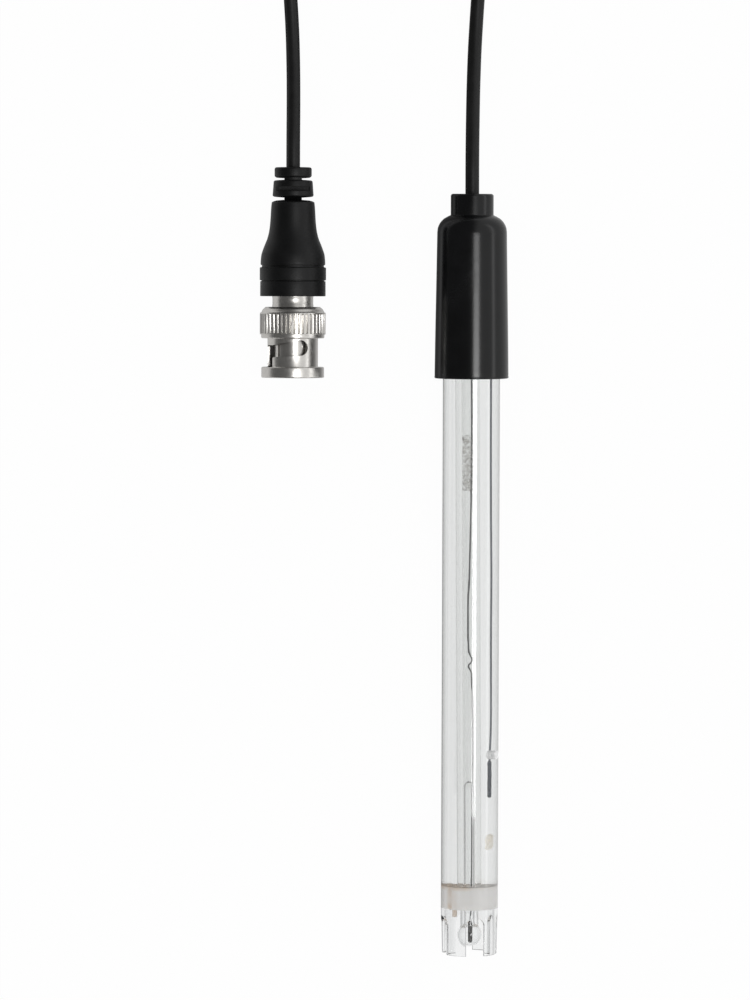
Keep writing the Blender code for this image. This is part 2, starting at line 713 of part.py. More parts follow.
def stopper(parts, cutters, axis, stem_hole, rubber):
    """Flanged stopper in the tube's top, with holes for the stem and the reference wire."""
    plug_radius = TUBE_BORE_RADIUS - FIT_GAP
    outline = [
        (0.0, STOPPER_TOP),
        (TUBE_RADIUS, STOPPER_TOP),
        (TUBE_RADIUS, TUBE_TOP + FIT_GAP),
        (plug_radius, TUBE_TOP + FIT_GAP),
        (plug_radius, STOPPER_BOTTOM),
        (0.0, STOPPER_BOTTOM),
    ]
    plug = turned("tube_stopper", outline, MEDIUM_STEPS, parts, axis, rubber)
    cut(plug, stem_hole)
    wire_hole = rod_cutter(
        "wire_hole",
        REFERENCE_WIRE_DIAMETER / 2 + FINE_GAP,
        (RING_RADIUS, REFERENCE_ELEMENT_TOP, 0.0),
        (RING_RADIUS, STOPPER_TOP + REFERENCE_WIRE_ABOVE_STOPPER + FIT_GAP, 0.0),
        cutters,
        axis,
    )
    cut(plug, wire_hole)
    return wire_hole


def potting(parts, axis, wire_hole, resin):
    """Resin ring in the cap's chamber, round the stem's end and the cord's stripped tail."""
    inner = max(STEM_RADIUS + lean_offset(STEM_TOP), CORD_RADIUS) + FIT_GAP
    ring = turned(
        "cap_potting",
        ring_outline(
            CHAMBER_RADIUS - FIT_GAP,
            inner,
            CHAMBER_BOTTOM,
            CHAMBER_TOP - FIT_GAP,
        ),
        MEDIUM_STEPS,
        parts,
        axis,
        resin,
    )
    cut(ring, wire_hole)


def wires(parts, axis, stem_axis, silver, chloride):
    """The inner wire with its element, and the reference wire with its coated end."""
    tip_length = INNER_ELEMENT_DIAMETER / 2
    radius = INNER_ELEMENT_DIAMETER / 2
    turned(
        "inner_element",
        [
            (0.0, INNER_ELEMENT_TOP - SEAL_MIDDLE),
            (radius, INNER_ELEMENT_TOP - tip_length - SEAL_MIDDLE),
            (radius, INNER_ELEMENT_BOTTOM - SEAL_MIDDLE),
            (0.0, INNER_ELEMENT_BOTTOM - SEAL_MIDDLE),
        ],
        FINE_STEPS,
        parts,
        stem_axis,
        chloride,
    )
    wander = [(0.0, INNER_ELEMENT_TOP + FINE_GAP)]
    wander += [(offset, along) for along, offset in INNER_WIRE_WANDER]
    wander.append((0.0, STEM_TOP))
    wander += [(lean_offset(along), along) for along in (SPLICE_BOTTOM, INNER_WIRE_TOP)]
    tube(
        "inner_wire",
        [(offset, along - SEAL_MIDDLE, 0.0) for offset, along in wander],
        INNER_WIRE_DIAMETER,
        parts,
        stem_axis,
        silver,
    )
    end_round = REFERENCE_ELEMENT_DIAMETER / 2
    low = REFERENCE_ELEMENT_FROM_TIP
    bead = [(0.0, REFERENCE_ELEMENT_TOP), (end_round, REFERENCE_ELEMENT_TOP)]
    bead += arc((0.0, low + end_round), end_round, 0.0, -90.0, 3)
    bead[-1] = (0.0, low)
    element = turned("reference_element", bead, FINE_STEPS, parts, axis, chloride)
    element.location = (RING_RADIUS, 0.0, 0.0)
    tube(
        "reference_wire",
        [
            (RING_RADIUS, REFERENCE_ELEMENT_TOP + FINE_GAP, 0.0),
            (RING_RADIUS, (REFERENCE_ELEMENT_TOP + STOPPER_BOTTOM) / 2, 0.0),
            (RING_RADIUS, STOPPER_TOP + REFERENCE_WIRE_ABOVE_STOPPER, 0.0),
        ],
        REFERENCE_WIRE_DIAMETER,
        parts,
        axis,
        silver,
    )


def gel(parts, cutters, axis, holes, gel_clear):
    """The gel that fills the tube from the seal to the stopper, round everything in it."""
    body = turned(
        "reference_gel",
        solid_outline(
            TUBE_BORE_RADIUS - FIT_GAP, SEAL_TOP + FIT_GAP, STOPPER_BOTTOM - FIT_GAP
        ),
        MEDIUM_STEPS,
        parts,
        axis,
        gel_clear,
    )
    element_hole = rod_cutter(
        "element_hole",
        REFERENCE_ELEMENT_DIAMETER / 2 + FINE_GAP,
        (RING_RADIUS, REFERENCE_ELEMENT_FROM_TIP - FINE_GAP, 0.0),
        (RING_RADIUS, REFERENCE_ELEMENT_TOP + FINE_GAP, 0.0),
        cutters,
        axis,
    )
    for cutter in (*holes, element_hole):
        cut(body, cutter)


def cable_tail(parts, axis, jacket):
    """The cord's stripped end inside the neck: jacket, dielectric and conductor."""
    neck_end = NECK_TOP - FIT_GAP
    turned(
        "cable_tail",
        [
            (0.0, neck_end),
            (CORD_RADIUS, neck_end),
            (CORD_RADIUS, TAIL_JACKET_END),
            (DIELECTRIC_RADIUS, TAIL_JACKET_END),
            (DIELECTRIC_RADIUS, TAIL_DIELECTRIC_END),
            (CONDUCTOR_RADIUS, TAIL_DIELECTRIC_END),
            (CONDUCTOR_RADIUS, TAIL_CONDUCTOR_END),
            (0.0, TAIL_CONDUCTOR_END),
        ],
        FINE_STEPS,
        parts,
        axis,
        jacket,
    )


def splice_sleeve(parts, axis, sleeve_red):
    """Shrink sleeve round the joint between the cord's conductor and the inner wire."""
    inner = CONDUCTOR_RADIUS + FINE_GAP
    turned(
        "splice_sleeve",
        ring_outline(inner + SPLICE_WALL, inner, SPLICE_BOTTOM, SPLICE_TOP),
        FINE_STEPS,
        parts,
        axis,
        sleeve_red,
    )


# Connector


def nut_blank_outline():
    """Bayonet barrel between a front flange and a fluted grip, with a chamber at the back."""
    return [
        (NUT_COLLAR_RADIUS - NUT_TAIL_TAPER, NUT_BACK),
        (NUT_COLLAR_RADIUS, NUT_TAIL),
        (NUT_KNURL_RADIUS, NUT_TAIL),
        (NUT_KNURL_RADIUS, NUT_KNURL),
        (NUT_COLLAR_RADIUS, NUT_KNURL),
        (NUT_COLLAR_RADIUS, NUT_COLLAR + NUT_EDGE),
        (NUT_COLLAR_RADIUS - NUT_EDGE, NUT_COLLAR),
        (NUT_BARREL_RADIUS, NUT_COLLAR),
        (NUT_BARREL_RADIUS, NUT_FLANGE_LENGTH),
        (NUT_FLANGE_RADIUS - NUT_EDGE, NUT_FLANGE_LENGTH),
        (NUT_FLANGE_RADIUS, NUT_FLANGE_LENGTH - NUT_EDGE),
        (NUT_FLANGE_RADIUS, NUT_EDGE),
        (NUT_FLANGE_RADIUS - NUT_EDGE, 0.0),
        (NUT_BORE_RADIUS, 0.0),
        (NUT_BORE_RADIUS, NUT_STEP),
        (NUT_CHAMBER_RADIUS, NUT_STEP),
        (NUT_CHAMBER_RADIUS, RETAINER_FRONT - FINE_GAP),
        (NUT_GROOVE_RADIUS, RETAINER_FRONT - FINE_GAP),
        (NUT_GROOVE_RADIUS, RETAINER_BACK + FINE_GAP),
        (NUT_CHAMBER_RADIUS, RETAINER_BACK + FINE_GAP),
        (NUT_CHAMBER_RADIUS, NUT_BACK),
    ]


def slot_outline():
    """One bayonet slot on the unrolled barrel, as (round the barrel, along) points."""
    half = SLOT_WIDTH / 2
    entry = SLOT_ENTRY_TURN * NUT_BARREL_RADIUS
    seat = (entry + SLOT_SWEEP * NUT_BARREL_RADIUS, SLOT_SEAT_FROM_FACE)
    ramp_low = SLOT_RAMP_START - half
    ramp_high = SLOT_RAMP_START + half
    outline = [(entry - half, NUT_FLANGE_LENGTH), (entry + half, NUT_FLANGE_LENGTH)]
    outline += [(entry + half, ramp_low - SLOT_CORNER), (entry + half + SLOT_CORNER, ramp_low)]
    outline += arc(seat, SLOT_SEAT_RADIUS, -95.0, 90.0, 2 * ARC_STEPS)
    outline += [(entry - half + SLOT_CORNER, ramp_high), (entry - half, ramp_high - SLOT_CORNER)]
    return outline


def bayonet_cutter(cutters, axis):
    """Slots wrapped round the barrel: the flat outline is split every few degrees and bent."""
    shape = bmesh.new()
    outline = slot_outline()
    bend = 2 * math.pi / NUT_FLUTES * NUT_BARREL_RADIUS
    for i in range(SLOT_COUNT):
        flat = bmesh.new()
        flat.faces.new([flat.verts.new((x, y, 0.0)) for x, y in outline])
        first = math.ceil(min(x for x, _ in outline) / bend)
        last = math.floor(max(x for x, _ in outline) / bend)
        for step in range(first, last + 1):
            geometry = flat.verts[:] + flat.edges[:] + flat.faces[:]
            bmesh.ops.bisect_plane(
                flat, geom=geometry, plane_co=(step * bend, 0, 0), plane_no=(1, 0, 0)
            )
        grown = bmesh.ops.extrude_face_region(flat, geom=flat.faces[:])["geom"]
        raised = {item for item in grown if isinstance(item, bmesh.types.BMVert)}
        for vert in flat.verts:
            turn = vert.co.x / NUT_BARREL_RADIUS + 2 * math.pi * i / SLOT_COUNT
            reach = NUT_FLANGE_RISE / 2
            radius = NUT_BARREL_RADIUS + (reach if vert in raised else -2 * reach)
            vert.co = (radius * math.sin(turn), vert.co.y, radius * math.cos(turn))
        bent = bpy.data.meshes.new("bent_slot")
        flat.to_mesh(bent)
        flat.free()
        shape.from_mesh(bent)
        bpy.data.meshes.remove(bent)
    return cutter_object("bayonet_slots", shape, cutters, axis)


def stud_groove_cutter(cutters, axis):
    """Grooves inside the front flange that let the studs reach the slots."""
    shape = bmesh.new()
    half = SLOT_WIDTH / 2
    for i in range(SLOT_COUNT):
        add_box(
            shape,
            (-half, -NUT_EDGE, NUT_BORE_RADIUS - STUD_GROOVE_DEPTH),
            (half, NUT_FLANGE_LENGTH + NUT_EDGE, NUT_BORE_RADIUS + STUD_GROOVE_DEPTH),
            about_axis(SLOT_ENTRY_TURN + 2 * math.pi * i / SLOT_COUNT),
        )
    return cutter_object("stud_grooves", shape, cutters, axis)


def flute_cutter(cutters, axis):
    """Straight flutes round the grip, each a shallow trapezium."""
    shape = bmesh.new()
    low, high = NUT_KNURL - NUT_EDGE, NUT_TAIL + NUT_EDGE
    floor = NUT_KNURL_RADIUS - NUT_FLUTE_DEPTH
    for i in range(NUT_FLUTES):
        known = set(shape.verts)
        add_box(
            shape,
            (-NUT_FLUTE_WIDTH / 2, low, floor),
            (NUT_FLUTE_WIDTH / 2, high, floor + 2 * NUT_FLUTE_DEPTH),
        )
        own = [vert for vert in shape.verts if vert not in known]
        for vert in own:
            if vert.co.z < floor + NUT_FLUTE_DEPTH:
                vert.co.x *= 0.5
        turn = about_axis(math.pi / 2 + 2 * math.pi * i / NUT_FLUTES)
        bmesh.ops.transform(shape, matrix=turn, verts=own)
    return cutter_object("grip_flutes", shape, cutters, axis)


def coupling_nut(parts, cutters, axis, nickel):
    nut = turned("coupling_nut", nut_blank_outline(), NUT_FLUTES, parts, axis, nickel)
    cut(nut, flute_cutter(cutters, axis))
    cut(nut, bayonet_cutter(cutters, axis))
    cut(nut, stud_groove_cutter(cutters, axis))


def nut_bearing(parts, cutters, axis, nickel, spring_steel):
    """What holds the nut on the body: wave washer, thrust washer and retaining ring."""
    turned(
        "thrust_washer",
        ring_outline(
            NUT_CHAMBER_RADIUS - FINE_GAP,
            BODY_BARREL_RADIUS + FINE_GAP,
            WASHER_FRONT,
            WASHER_BACK,
        ),
        RING_STEPS,
        parts,
        axis,
        nickel,
    )
    retainer = turned(
        "retaining_ring",
        ring_outline(
            NUT_GROOVE_RADIUS - FINE_GAP,
            BODY_BARREL_RADIUS + FINE_GAP,
            RETAINER_FRONT,
            RETAINER_BACK,
        ),
        MEDIUM_STEPS,
        parts,
        axis,
        spring_steel,
    )
    shape = bmesh.new()
    half = RETAINER_OPENING / 2
    add_box(
        shape,
        (-half, RETAINER_FRONT - FINE_GAP, 0.0),
        (half, RETAINER_BACK + FINE_GAP, -NUT_KNURL_RADIUS),
    )
    cut(retainer, cutter_object("retainer_opening", shape, cutters, axis))

    middle = (BODY_FLANGE_BACK + WASHER_FRONT) / 2
    wave = NUT_TRAVEL / 2
    inner = BODY_BARREL_RADIUS + FINE_GAP
    mesh = bpy.data.meshes.new("wave_washer")
    shape = bmesh.new()
    half = WAVE_RING_THICKNESS / 2
    corners = [
        shape.verts.new((radius, along, 0.0))
        for radius, along in ring_outline(inner + WAVE_RING_WIDTH, inner, -half, half)
    ]
    loop = [shape.edges.new(pair) for pair in zip(corners, corners[1:] + corners[:1])]
    bmesh.ops.spin(
        shape,
        geom=corners + loop,
        cent=(0.0, 0.0, 0.0),
        axis=(0.0, 1.0, 0.0),
        angle=2 * math.pi,
        steps=MEDIUM_STEPS,
        use_merge=True,
    )
    bmesh.ops.remove_doubles(shape, verts=shape.verts, dist=MERGE)
    for vert in shape.verts:
        vert.co.y += middle + wave * math.sin(WAVE_COUNT * math.atan2(vert.co.z, vert.co.x))
    bmesh.ops.recalc_face_normals(shape, faces=shape.faces)
    shape.to_mesh(mesh)
    shape.free()
    mesh_object("wave_washer", mesh, parts, axis, spring_steel)


def connector_body(parts, axis, nickel):
    """Turned body: hub and flange in the nut, barrel, and the crimp tube at its back."""
    socket = CONTACT_RADIUS + FINE_GAP
    bore = INSULATOR_TAIL_RADIUS + FINE_GAP
    core = DIELECTRIC_RADIUS + FINE_GAP
    outline = [
        (CRIMP_TUBE_RADIUS, CRIMP_TUBE_BACK),
        (CRIMP_TUBE_RADIUS, BODY_BARREL_BACK),
        (BODY_BARREL_RADIUS, BODY_BARREL_BACK),
        (BODY_BARREL_RADIUS, BODY_FLANGE_BACK),
        (BODY_FLANGE_RADIUS, BODY_FLANGE_BACK),
        (BODY_FLANGE_RADIUS, BODY_FLANGE_FRONT),
        (BODY_HUB_RADIUS, BODY_FLANGE_FRONT),
        (BODY_HUB_RADIUS, BODY_HUB_FRONT),
        (socket, BODY_HUB_FRONT),
        (socket, CONTACT_SOCKET_BOTTOM),
        (bore, CONTACT_SOCKET_BOTTOM),
        (bore, BODY_BORE_BOTTOM),
        (core, BODY_BORE_BOTTOM),
        (core, CRIMP_TUBE_BACK),
    ]
    turned("connector_body", outline, RING_STEPS, parts, axis, nickel)


def outer_contact(parts, cutters, axis, nickel):
    """Spring sleeve, slotted into fingers that bulge a little near their ends."""
    bulge = CONTACT_RADIUS + CONTACT_BULGE
    bulge_place = CONTACT_RECESS + CONTACT_SLOT_LENGTH / 4
    outline = [
        (CONTACT_RADIUS, CONTACT_BACK),
        (CONTACT_RADIUS, CONTACT_RECESS + CONTACT_SLOT_LENGTH / 2),
        (bulge, bulge_place),
        (CONTACT_RADIUS - CONTACT_WALL / 4, CONTACT_RECESS),
        (CONTACT_BORE_RADIUS, CONTACT_RECESS),
        (CONTACT_BORE_RADIUS, CONTACT_BACK),
    ]
    contact = turned("outer_contact", outline, MEDIUM_STEPS, parts, axis, nickel)
    shape = bmesh.new()
    half = CONTACT_SLOT_WIDTH / 2
    for i in range(CONTACT_SLOTS):
        add_box(
            shape,
            (-half, CONTACT_RECESS - CONTACT_WALL, CONTACT_BORE_RADIUS - CONTACT_WALL),
            (half, CONTACT_RECESS + CONTACT_SLOT_LENGTH, bulge + CONTACT_WALL),
            about_axis(math.pi / CONTACT_SLOTS + 2 * math.pi * i / CONTACT_SLOTS),
        )
    cut(contact, cutter_object("contact_slots", shape, cutters, axis))


def contact_insides(parts, axis, ptfe, gilt, rubber):
    """The insulator, the centre pin with its solder cup, and the face gasket."""
    pin_hole = PIN_RADIUS + FINE_GAP
    cup_hole = PIN_CUP_RADIUS + FINE_GAP
    shoulder = PIN_CUP_FRONT - FINE_GAP
    outline = [
        (INSULATOR_TAIL_RADIUS, INSULATOR_BACK),
        (INSULATOR_TAIL_RADIUS, CONTACT_BACK),
        (INSULATOR_RADIUS, CONTACT_BACK),
        (INSULATOR_RADIUS, INSULATOR_FRONT),
        (pin_hole, INSULATOR_FRONT),
        (pin_hole, shoulder),
        (cup_hole, shoulder),
        (cup_hole, INSULATOR_BACK),
    ]
    turned("insulator", outline, SMALL_STEPS, parts, axis, ptfe)
    cup_bore = CONDUCTOR_RADIUS + FINE_GAP
    cup_floor = PIN_BACK - PIN_CUP_DEPTH
    outline = [
        (PIN_CUP_RADIUS, PIN_BACK),
        (PIN_CUP_RADIUS, PIN_CUP_FRONT),
        (PIN_RADIUS, PIN_CUP_FRONT),
        (PIN_RADIUS, PIN_RECESS + PIN_DIAMETER),
        (PIN_RADIUS / 2, PIN_RECESS),
        (0.0, PIN_RECESS),
    ]
    mesh_outline = [(0.0, cup_floor), (cup_bore, cup_floor), (cup_bore, PIN_BACK)]
    turned("centre_pin", mesh_outline + outline, FINE_STEPS, parts, axis, gilt)
    turned(
        "gasket",
        ring_outline(
            BODY_HUB_RADIUS,
            CONTACT_RADIUS + CONTACT_BULGE + FINE_GAP / 2,
            BODY_HUB_FRONT - FINE_GAP - GASKET_THICKNESS,
            BODY_HUB_FRONT - FINE_GAP,
        ),
        RING_STEPS,
        parts,
        axis,
        rubber,
    )


def crimp_and_tail(parts, axis, nickel, jacket):
    """The crimp ferrule, and the stripped end of the cord that runs to the pin's cup."""
    turned(
        "crimp_ferrule",
        ring_outline(FERRULE_RADIUS, FERRULE_BORE_RADIUS, FERRULE_FRONT, FERRULE_BACK),
        SMALL_STEPS,
        parts,
        axis,
        nickel,
    )
    jacket_front = CRIMP_TUBE_BACK + FINE_GAP
    dielectric_front = PIN_BACK + FINE_GAP
    conductor_front = PIN_BACK - PIN_CUP_DEPTH + FINE_GAP
    turned(
        "connector_tail",
        [
            (0.0, TAIL_BACK),
            (CORD_RADIUS, TAIL_BACK),
            (CORD_RADIUS, jacket_front),
            (DIELECTRIC_RADIUS, jacket_front),
            (DIELECTRIC_RADIUS, dielectric_front),
            (CONDUCTOR_RADIUS, dielectric_front),
            (CONDUCTOR_RADIUS, conductor_front),
            (0.0, conductor_front),
        ],
        FINE_STEPS,
        parts,
        axis,
        jacket,
    )


def boot_outline():
    """Band, collar and bell, then the strain relief's two rings; hollow at the front only."""
    band = BOOT_BAND_DIAMETER / 2
    collar = BOOT_COLLAR_DIAMETER / 2
    bell = BOOT_BELL_DIAMETER / 2
    neck = BOOT_NECK_DIAMETER / 2
    lower = BOOT_LOWER_RING_DIAMETER / 2
    upper = BOOT_UPPER_RING_DIAMETER / 2
    edge = BOOT_RING_ROUND
    waist = BOOT_BELL_FRONT + BOOT_BELL_LENGTH / 2
    outline = [
        (0.0, BOOT_BACK),
        (upper - edge, BOOT_BACK),
        (upper, BOOT_BACK - edge),
        (upper, BOOT_UPPER_RING_FRONT + edge),
        (upper - edge, BOOT_UPPER_RING_FRONT),
        (upper - edge, BOOT_LOWER_RING_BACK),
        (upper + edge / 2, BOOT_LOWER_RING_BACK - edge),
        (lower, BOOT_LOWER_RING_FRONT + edge),
        (lower - edge, BOOT_LOWER_RING_FRONT),
        (lower - edge, BOOT_BELL_BACK),
        (neck, BOOT_BELL_BACK - edge),
    ]
    # The bell flares along a cosine from its neck to its full width
    flare_steps = 2 * ARC_STEPS
    neck_end = neck + (bell - neck) * 0.12
    for i in range(flare_steps + 1):
        share = i / flare_steps
        swell = (1 - math.cos(math.pi * share)) / 2
        along = waist + BOOT_BELL_LENGTH * (0.12 - 0.5 * share)
        outline.append((neck_end + (bell - BOOT_GROOVE_DEPTH / 3 - neck_end) * swell, along))
    groove = collar - BOOT_GROOVE_DEPTH
    outline += [
        (bell, BOOT_BELL_FRONT),
        (groove - BOOT_GROOVE_DEPTH, BOOT_BELL_FRONT),
        (groove - BOOT_GROOVE_DEPTH, BOOT_COLLAR_BACK),
        (collar, BOOT_COLLAR_BACK),
        (collar, BOOT_COLLAR_FRONT),
        (groove - BOOT_GROOVE_DEPTH, BOOT_COLLAR_FRONT),
        (groove - BOOT_GROOVE_DEPTH, BOOT_BAND_BACK),
        (band, BOOT_BAND_BACK),
        (band, BOOT_FRONT + edge),
        (band - edge, BOOT_FRONT),
    ]
    barrel_hole = BODY_BARREL_RADIUS + FINE_GAP
    ferrule_hole = FERRULE_RADIUS + FINE_GAP
    step = BODY_BARREL_BACK + FINE_GAP
    outline += [
        (barrel_hole, BOOT_FRONT),
        (barrel_hole, step),
        (ferrule_hole, step),
        (ferrule_hole, BOOT_HOLLOW_BACK),
        (0.0, BOOT_HOLLOW_BACK),
    ]
    return outline


def connector_boot(parts, cutters, axis, black_matte):
    """The strain relief's slots are cut from the sides, then front and back, then the sides."""
    boot = turned("connector_boot", boot_outline(), MEDIUM_STEPS, parts, axis, black_matte)
    reach = BOOT_BELL_DIAMETER
    shape = bmesh.new()
    side_slots = ((BOOT_BELL_BACK, BOOT_LOWER_SLOT), (BOOT_LOWER_RING_BACK, BOOT_UPPER_SLOT))
    for low, width in side_slots:
        for side in (-1, 1):
            near, far = sorted((side * BOOT_WEB, side * reach))
            add_box(shape, (near, low, -reach), (far, low + width, reach))
    middle = (BOOT_LOWER_RING_FRONT + BOOT_LOWER_RING_BACK) / 2
    for side in (-1, 1):
        near, far = sorted((side * BOOT_WEB, side * reach))
        add_box(
            shape,
            (-reach, middle - BOOT_WINDOW / 2, near),
            (reach, middle + BOOT_WINDOW / 2, far),
        )
    cut(boot, cutter_object("relief_slots", shape, cutters, axis))


# Cord


def cap_exit():
    """Where the cord leaves the neck, in the world."""
    turn = Matrix.Rotation(REST_TILT, 4, "X")
    place = Matrix.Translation((0.0, TIP_PLACE, TIP_HEIGHT))
    return place @ turn @ Vector((0.0, NECK_TOP + FIT_GAP, 0.0))


def meets_coil(turn_radius):
    """How far short of the coil's middle line a cord that joins a turn meets its side."""
    reach = COIL_OUTER + FIT_GAP + CORD_RADIUS
    return math.sqrt(reach**2 - turn_radius**2)


def cords(parts, jacket):
    entry = (COIL_X + OUTER_TURN, COIL_Y - meets_coil(OUTER_TURN), ROUTE_FROM_CAP[-1][2])
    route = smooth_route([cap_exit(), *ROUTE_FROM_CAP, entry], ROUTE_STEP)
    tube("cord_from_cap", route, CORD_DIAMETER, parts, None, jacket)
    boot_exit = (CONNECTOR_X, CONNECTOR_FRONT + BOOT_BACK + FIT_GAP, CONNECTOR_RADIUS)
    leave = (COIL_X - TOP_TURN, COIL_Y - meets_coil(TOP_TURN), TOP_TURN_HEIGHT - CORD_RADIUS / 2)
    route = smooth_route([boot_exit, *ROUTE_TO_BOOT, leave], ROUTE_STEP)
    tube("cord_to_connector", route, CORD_DIAMETER, parts, None, jacket)


def cord_coil(parts, cutters, jacket):
    """The outer shape of the wound turns, with a channel below for the tie."""
    edge = CORD_RADIUS
    low, high = edge, COIL_HEIGHT - edge
    outline = arc((COIL_OUTER - edge, high), edge, 90.0, 0.0, 2)
    outline += arc((COIL_OUTER - edge, low), edge, 0.0, -90.0, 2)
    outline += arc((COIL_INNER + edge, low), edge, -90.0, -180.0, 2)
    outline += arc((COIL_INNER + edge, high), edge, 180.0, 90.0, 2)
    coil = turned("cord_coil", outline, LARGE_STEPS, parts, None, jacket)
    coil.location = (COIL_X, COIL_Y, 0.0)
    coil.rotation_euler = (math.pi / 2, 0.0, 0.0)
    shape = bmesh.new()
    half = TIE_WIDTH / 2 + FIT_GAP
    add_box(
        shape,
        (COIL_X - half, COIL_Y, -TIE_THICKNESS),
        (COIL_X + half, COIL_Y + 2 * COIL_OUTER, TIE_THICKNESS + FIT_GAP),
    )
    cut(coil, cutter_object("tie_channel", shape, cutters))


def rounded_frame(spline, left, right, low, high, radius):
    """Fills a closed spline with a rectangle that has round corners."""
    points = arc((right - radius, low + radius), radius, -90.0, 0.0, 3)
    points += arc((right - radius, high - radius), radius, 0.0, 90.0, 3)
    points += arc((left + radius, high - radius), radius, 90.0, 180.0, 3)
    points += arc((left + radius, low + radius), radius, 180.0, 270.0, 3)
    spline.points.add(len(points) - 1)
    for point, (x, y) in zip(spline.points, points):
        point.co = (x, y, 0.0, 1.0)
    spline.use_cyclic_u = True


def coil_tie(parts, strap):
    """Strap closed round the coil's section: a flat frame, as wide as the strap."""
    half = TIE_WIDTH / 2
    inner_side = math.sqrt(COIL_INNER**2 - half**2) - FIT_GAP
    outer_side = COIL_OUTER + FIT_GAP
    low, high = TIE_THICKNESS, COIL_HEIGHT + FIT_GAP
    curve = bpy.data.curves.new("coil_tie", "CURVE")
    curve.dimensions = "2D"
    curve.fill_mode = "BOTH"
    curve.extrude = half
    thick = TIE_THICKNESS
    rounding = CORD_RADIUS / 2
    rounded_frame(
        curve.splines.new("POLY"),
        inner_side - thick,
        outer_side + thick,
        low - thick,
        high + thick,
        rounding + thick,
    )
    rounded_frame(curve.splines.new("POLY"), inner_side, outer_side, low, high, rounding)
    curve.materials.append(strap)
    tie = bpy.data.objects.new("coil_tie", curve)
    tie.location = (COIL_X, COIL_Y, 0.0)
    tie.rotation_euler = (math.pi / 2, 0.0, math.pi / 2)
    parts.objects.link(tie)


def build():
    clear_scene()
    parts = new_collection("ph_electrode")
    cutters = new_collection("cutters")

    clear_plastic = finish("clear_plastic", (0.93, 0.94, 0.95), 0.05, clear=1.0, ior=1.58)
    black_gloss = finish("black_gloss", (0.012, 0.012, 0.013), 0.28)
    glass = finish("stem_glass", (0.95, 0.96, 0.96), 0.02, clear=1.0, ior=1.5)
    seal_white = finish("milky_seal", (0.62, 0.61, 0.60), 0.45)
    wick_beige = finish("wick_beige", (0.52, 0.42, 0.32), 0.9)
    rubber = finish("stopper_rubber", (0.08, 0.08, 0.08), 0.7)
    resin = finish("potting_resin", (0.03, 0.03, 0.03), 0.4)
    silver = finish("silver_wire", (0.45, 0.47, 0.50), 0.4, metallic=1.0)
    chloride = finish("silver_chloride", (0.13, 0.13, 0.13), 0.7)
    gel_clear = finish("clear_gel", (0.96, 0.96, 0.97), 0.05, clear=1.0, ior=1.37)
    jacket = finish("cord_jacket", (0.02, 0.02, 0.021), 0.55)
    sleeve_red = finish("splice_sleeve", (0.35, 0.03, 0.03), 0.5)
    nickel = finish("nickel_plate", (0.72, 0.69, 0.64), 0.25, metallic=1.0)
    spring_steel = finish("spring_steel", (0.50, 0.50, 0.52), 0.35, metallic=1.0)
    ptfe = finish("white_ptfe", (0.85, 0.85, 0.84), 0.4)
    gilt = finish("gilt_pin", (0.83, 0.62, 0.28), 0.25, metallic=1.0)
    gasket_rubber = finish("gasket_rubber", (0.45, 0.12, 0.08), 0.6)
    black_matte = finish("black_boot", (0.018, 0.019, 0.02), 0.6)
    strap = finish("strap_fabric", (0.02, 0.02, 0.02), 0.9)

    axis = empty(
        "electrode_axis", parts, (0.0, TIP_PLACE, TIP_HEIGHT), (REST_TILT, 0.0, 0.0)
    )
    stem_axis = empty(
        "stem_axis", parts, (0.0, SEAL_MIDDLE, 0.0), (0.0, 0.0, STEM_LEAN), axis
    )
    connector_axis = empty(
        "connector_axis", parts, (CONNECTOR_X, CONNECTOR_FRONT, CONNECTOR_RADIUS)
    )

    port_hole = rod_cutter(
        "port_hole",
        PORT_DIAMETER / 2 + FINE_GAP,
        port_point(TUBE_BORE_RADIUS - PLUG_REACH - FIT_GAP),
        port_point(TUBE_RADIUS + TUBE_WALL),
        cutters,
        axis,
    )
    body_tube(parts, cutters, axis, port_hole, clear_plastic)
    fill_port_plug(parts, axis, clear_plastic)
    cable_cap(parts, axis, black_gloss)
    glass_stem(parts, stem_axis, glass)
    stem_hole = stem_cutter("stem_hole", cutters, stem_axis)
    wick_hole = seal_and_wick(parts, cutters, axis, stem_hole, seal_white, wick_beige)
    wire_hole = stopper(parts, cutters, axis, stem_hole, rubber)
    potting(parts, axis, wire_hole, resin)
    wires(parts, axis, stem_axis, silver, chloride)
    gel(parts, cutters, axis, (stem_hole, wick_hole, wire_hole, port_hole), gel_clear)
    cable_tail(parts, axis, jacket)
    splice_sleeve(parts, axis, sleeve_red)

    coupling_nut(parts, cutters, connector_axis, nickel)
    nut_bearing(parts, cutters, connector_axis, nickel, spring_steel)
    connector_body(parts, connector_axis, nickel)
    outer_contact(parts, cutters, connector_axis, nickel)
    contact_insides(parts, connector_axis, ptfe, gilt, gasket_rubber)
    crimp_and_tail(parts, connector_axis, nickel, jacket)
    connector_boot(parts, cutters, connector_axis, black_matte)

    cords(parts, jacket)
    cord_coil(parts, cutters, jacket)
    coil_tie(parts, strap)
    set_modifiers(parts)


build()
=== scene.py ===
"""A combination pH electrode with its cord and bayonet connector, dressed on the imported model.

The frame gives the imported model. Each piece is built in place, in metres, by an operator of its
own. The electrode lies along Y and is tilted a little, because it rests on its cap's lip, so its
pieces are drawn about an upright Y axis and then placed by the matrix PROBE.
"""

import math

import bmesh
import bpy
from bpy.props import FloatProperty, FloatVectorProperty, IntProperty, PointerProperty
from mathutils import Matrix, Vector, noise


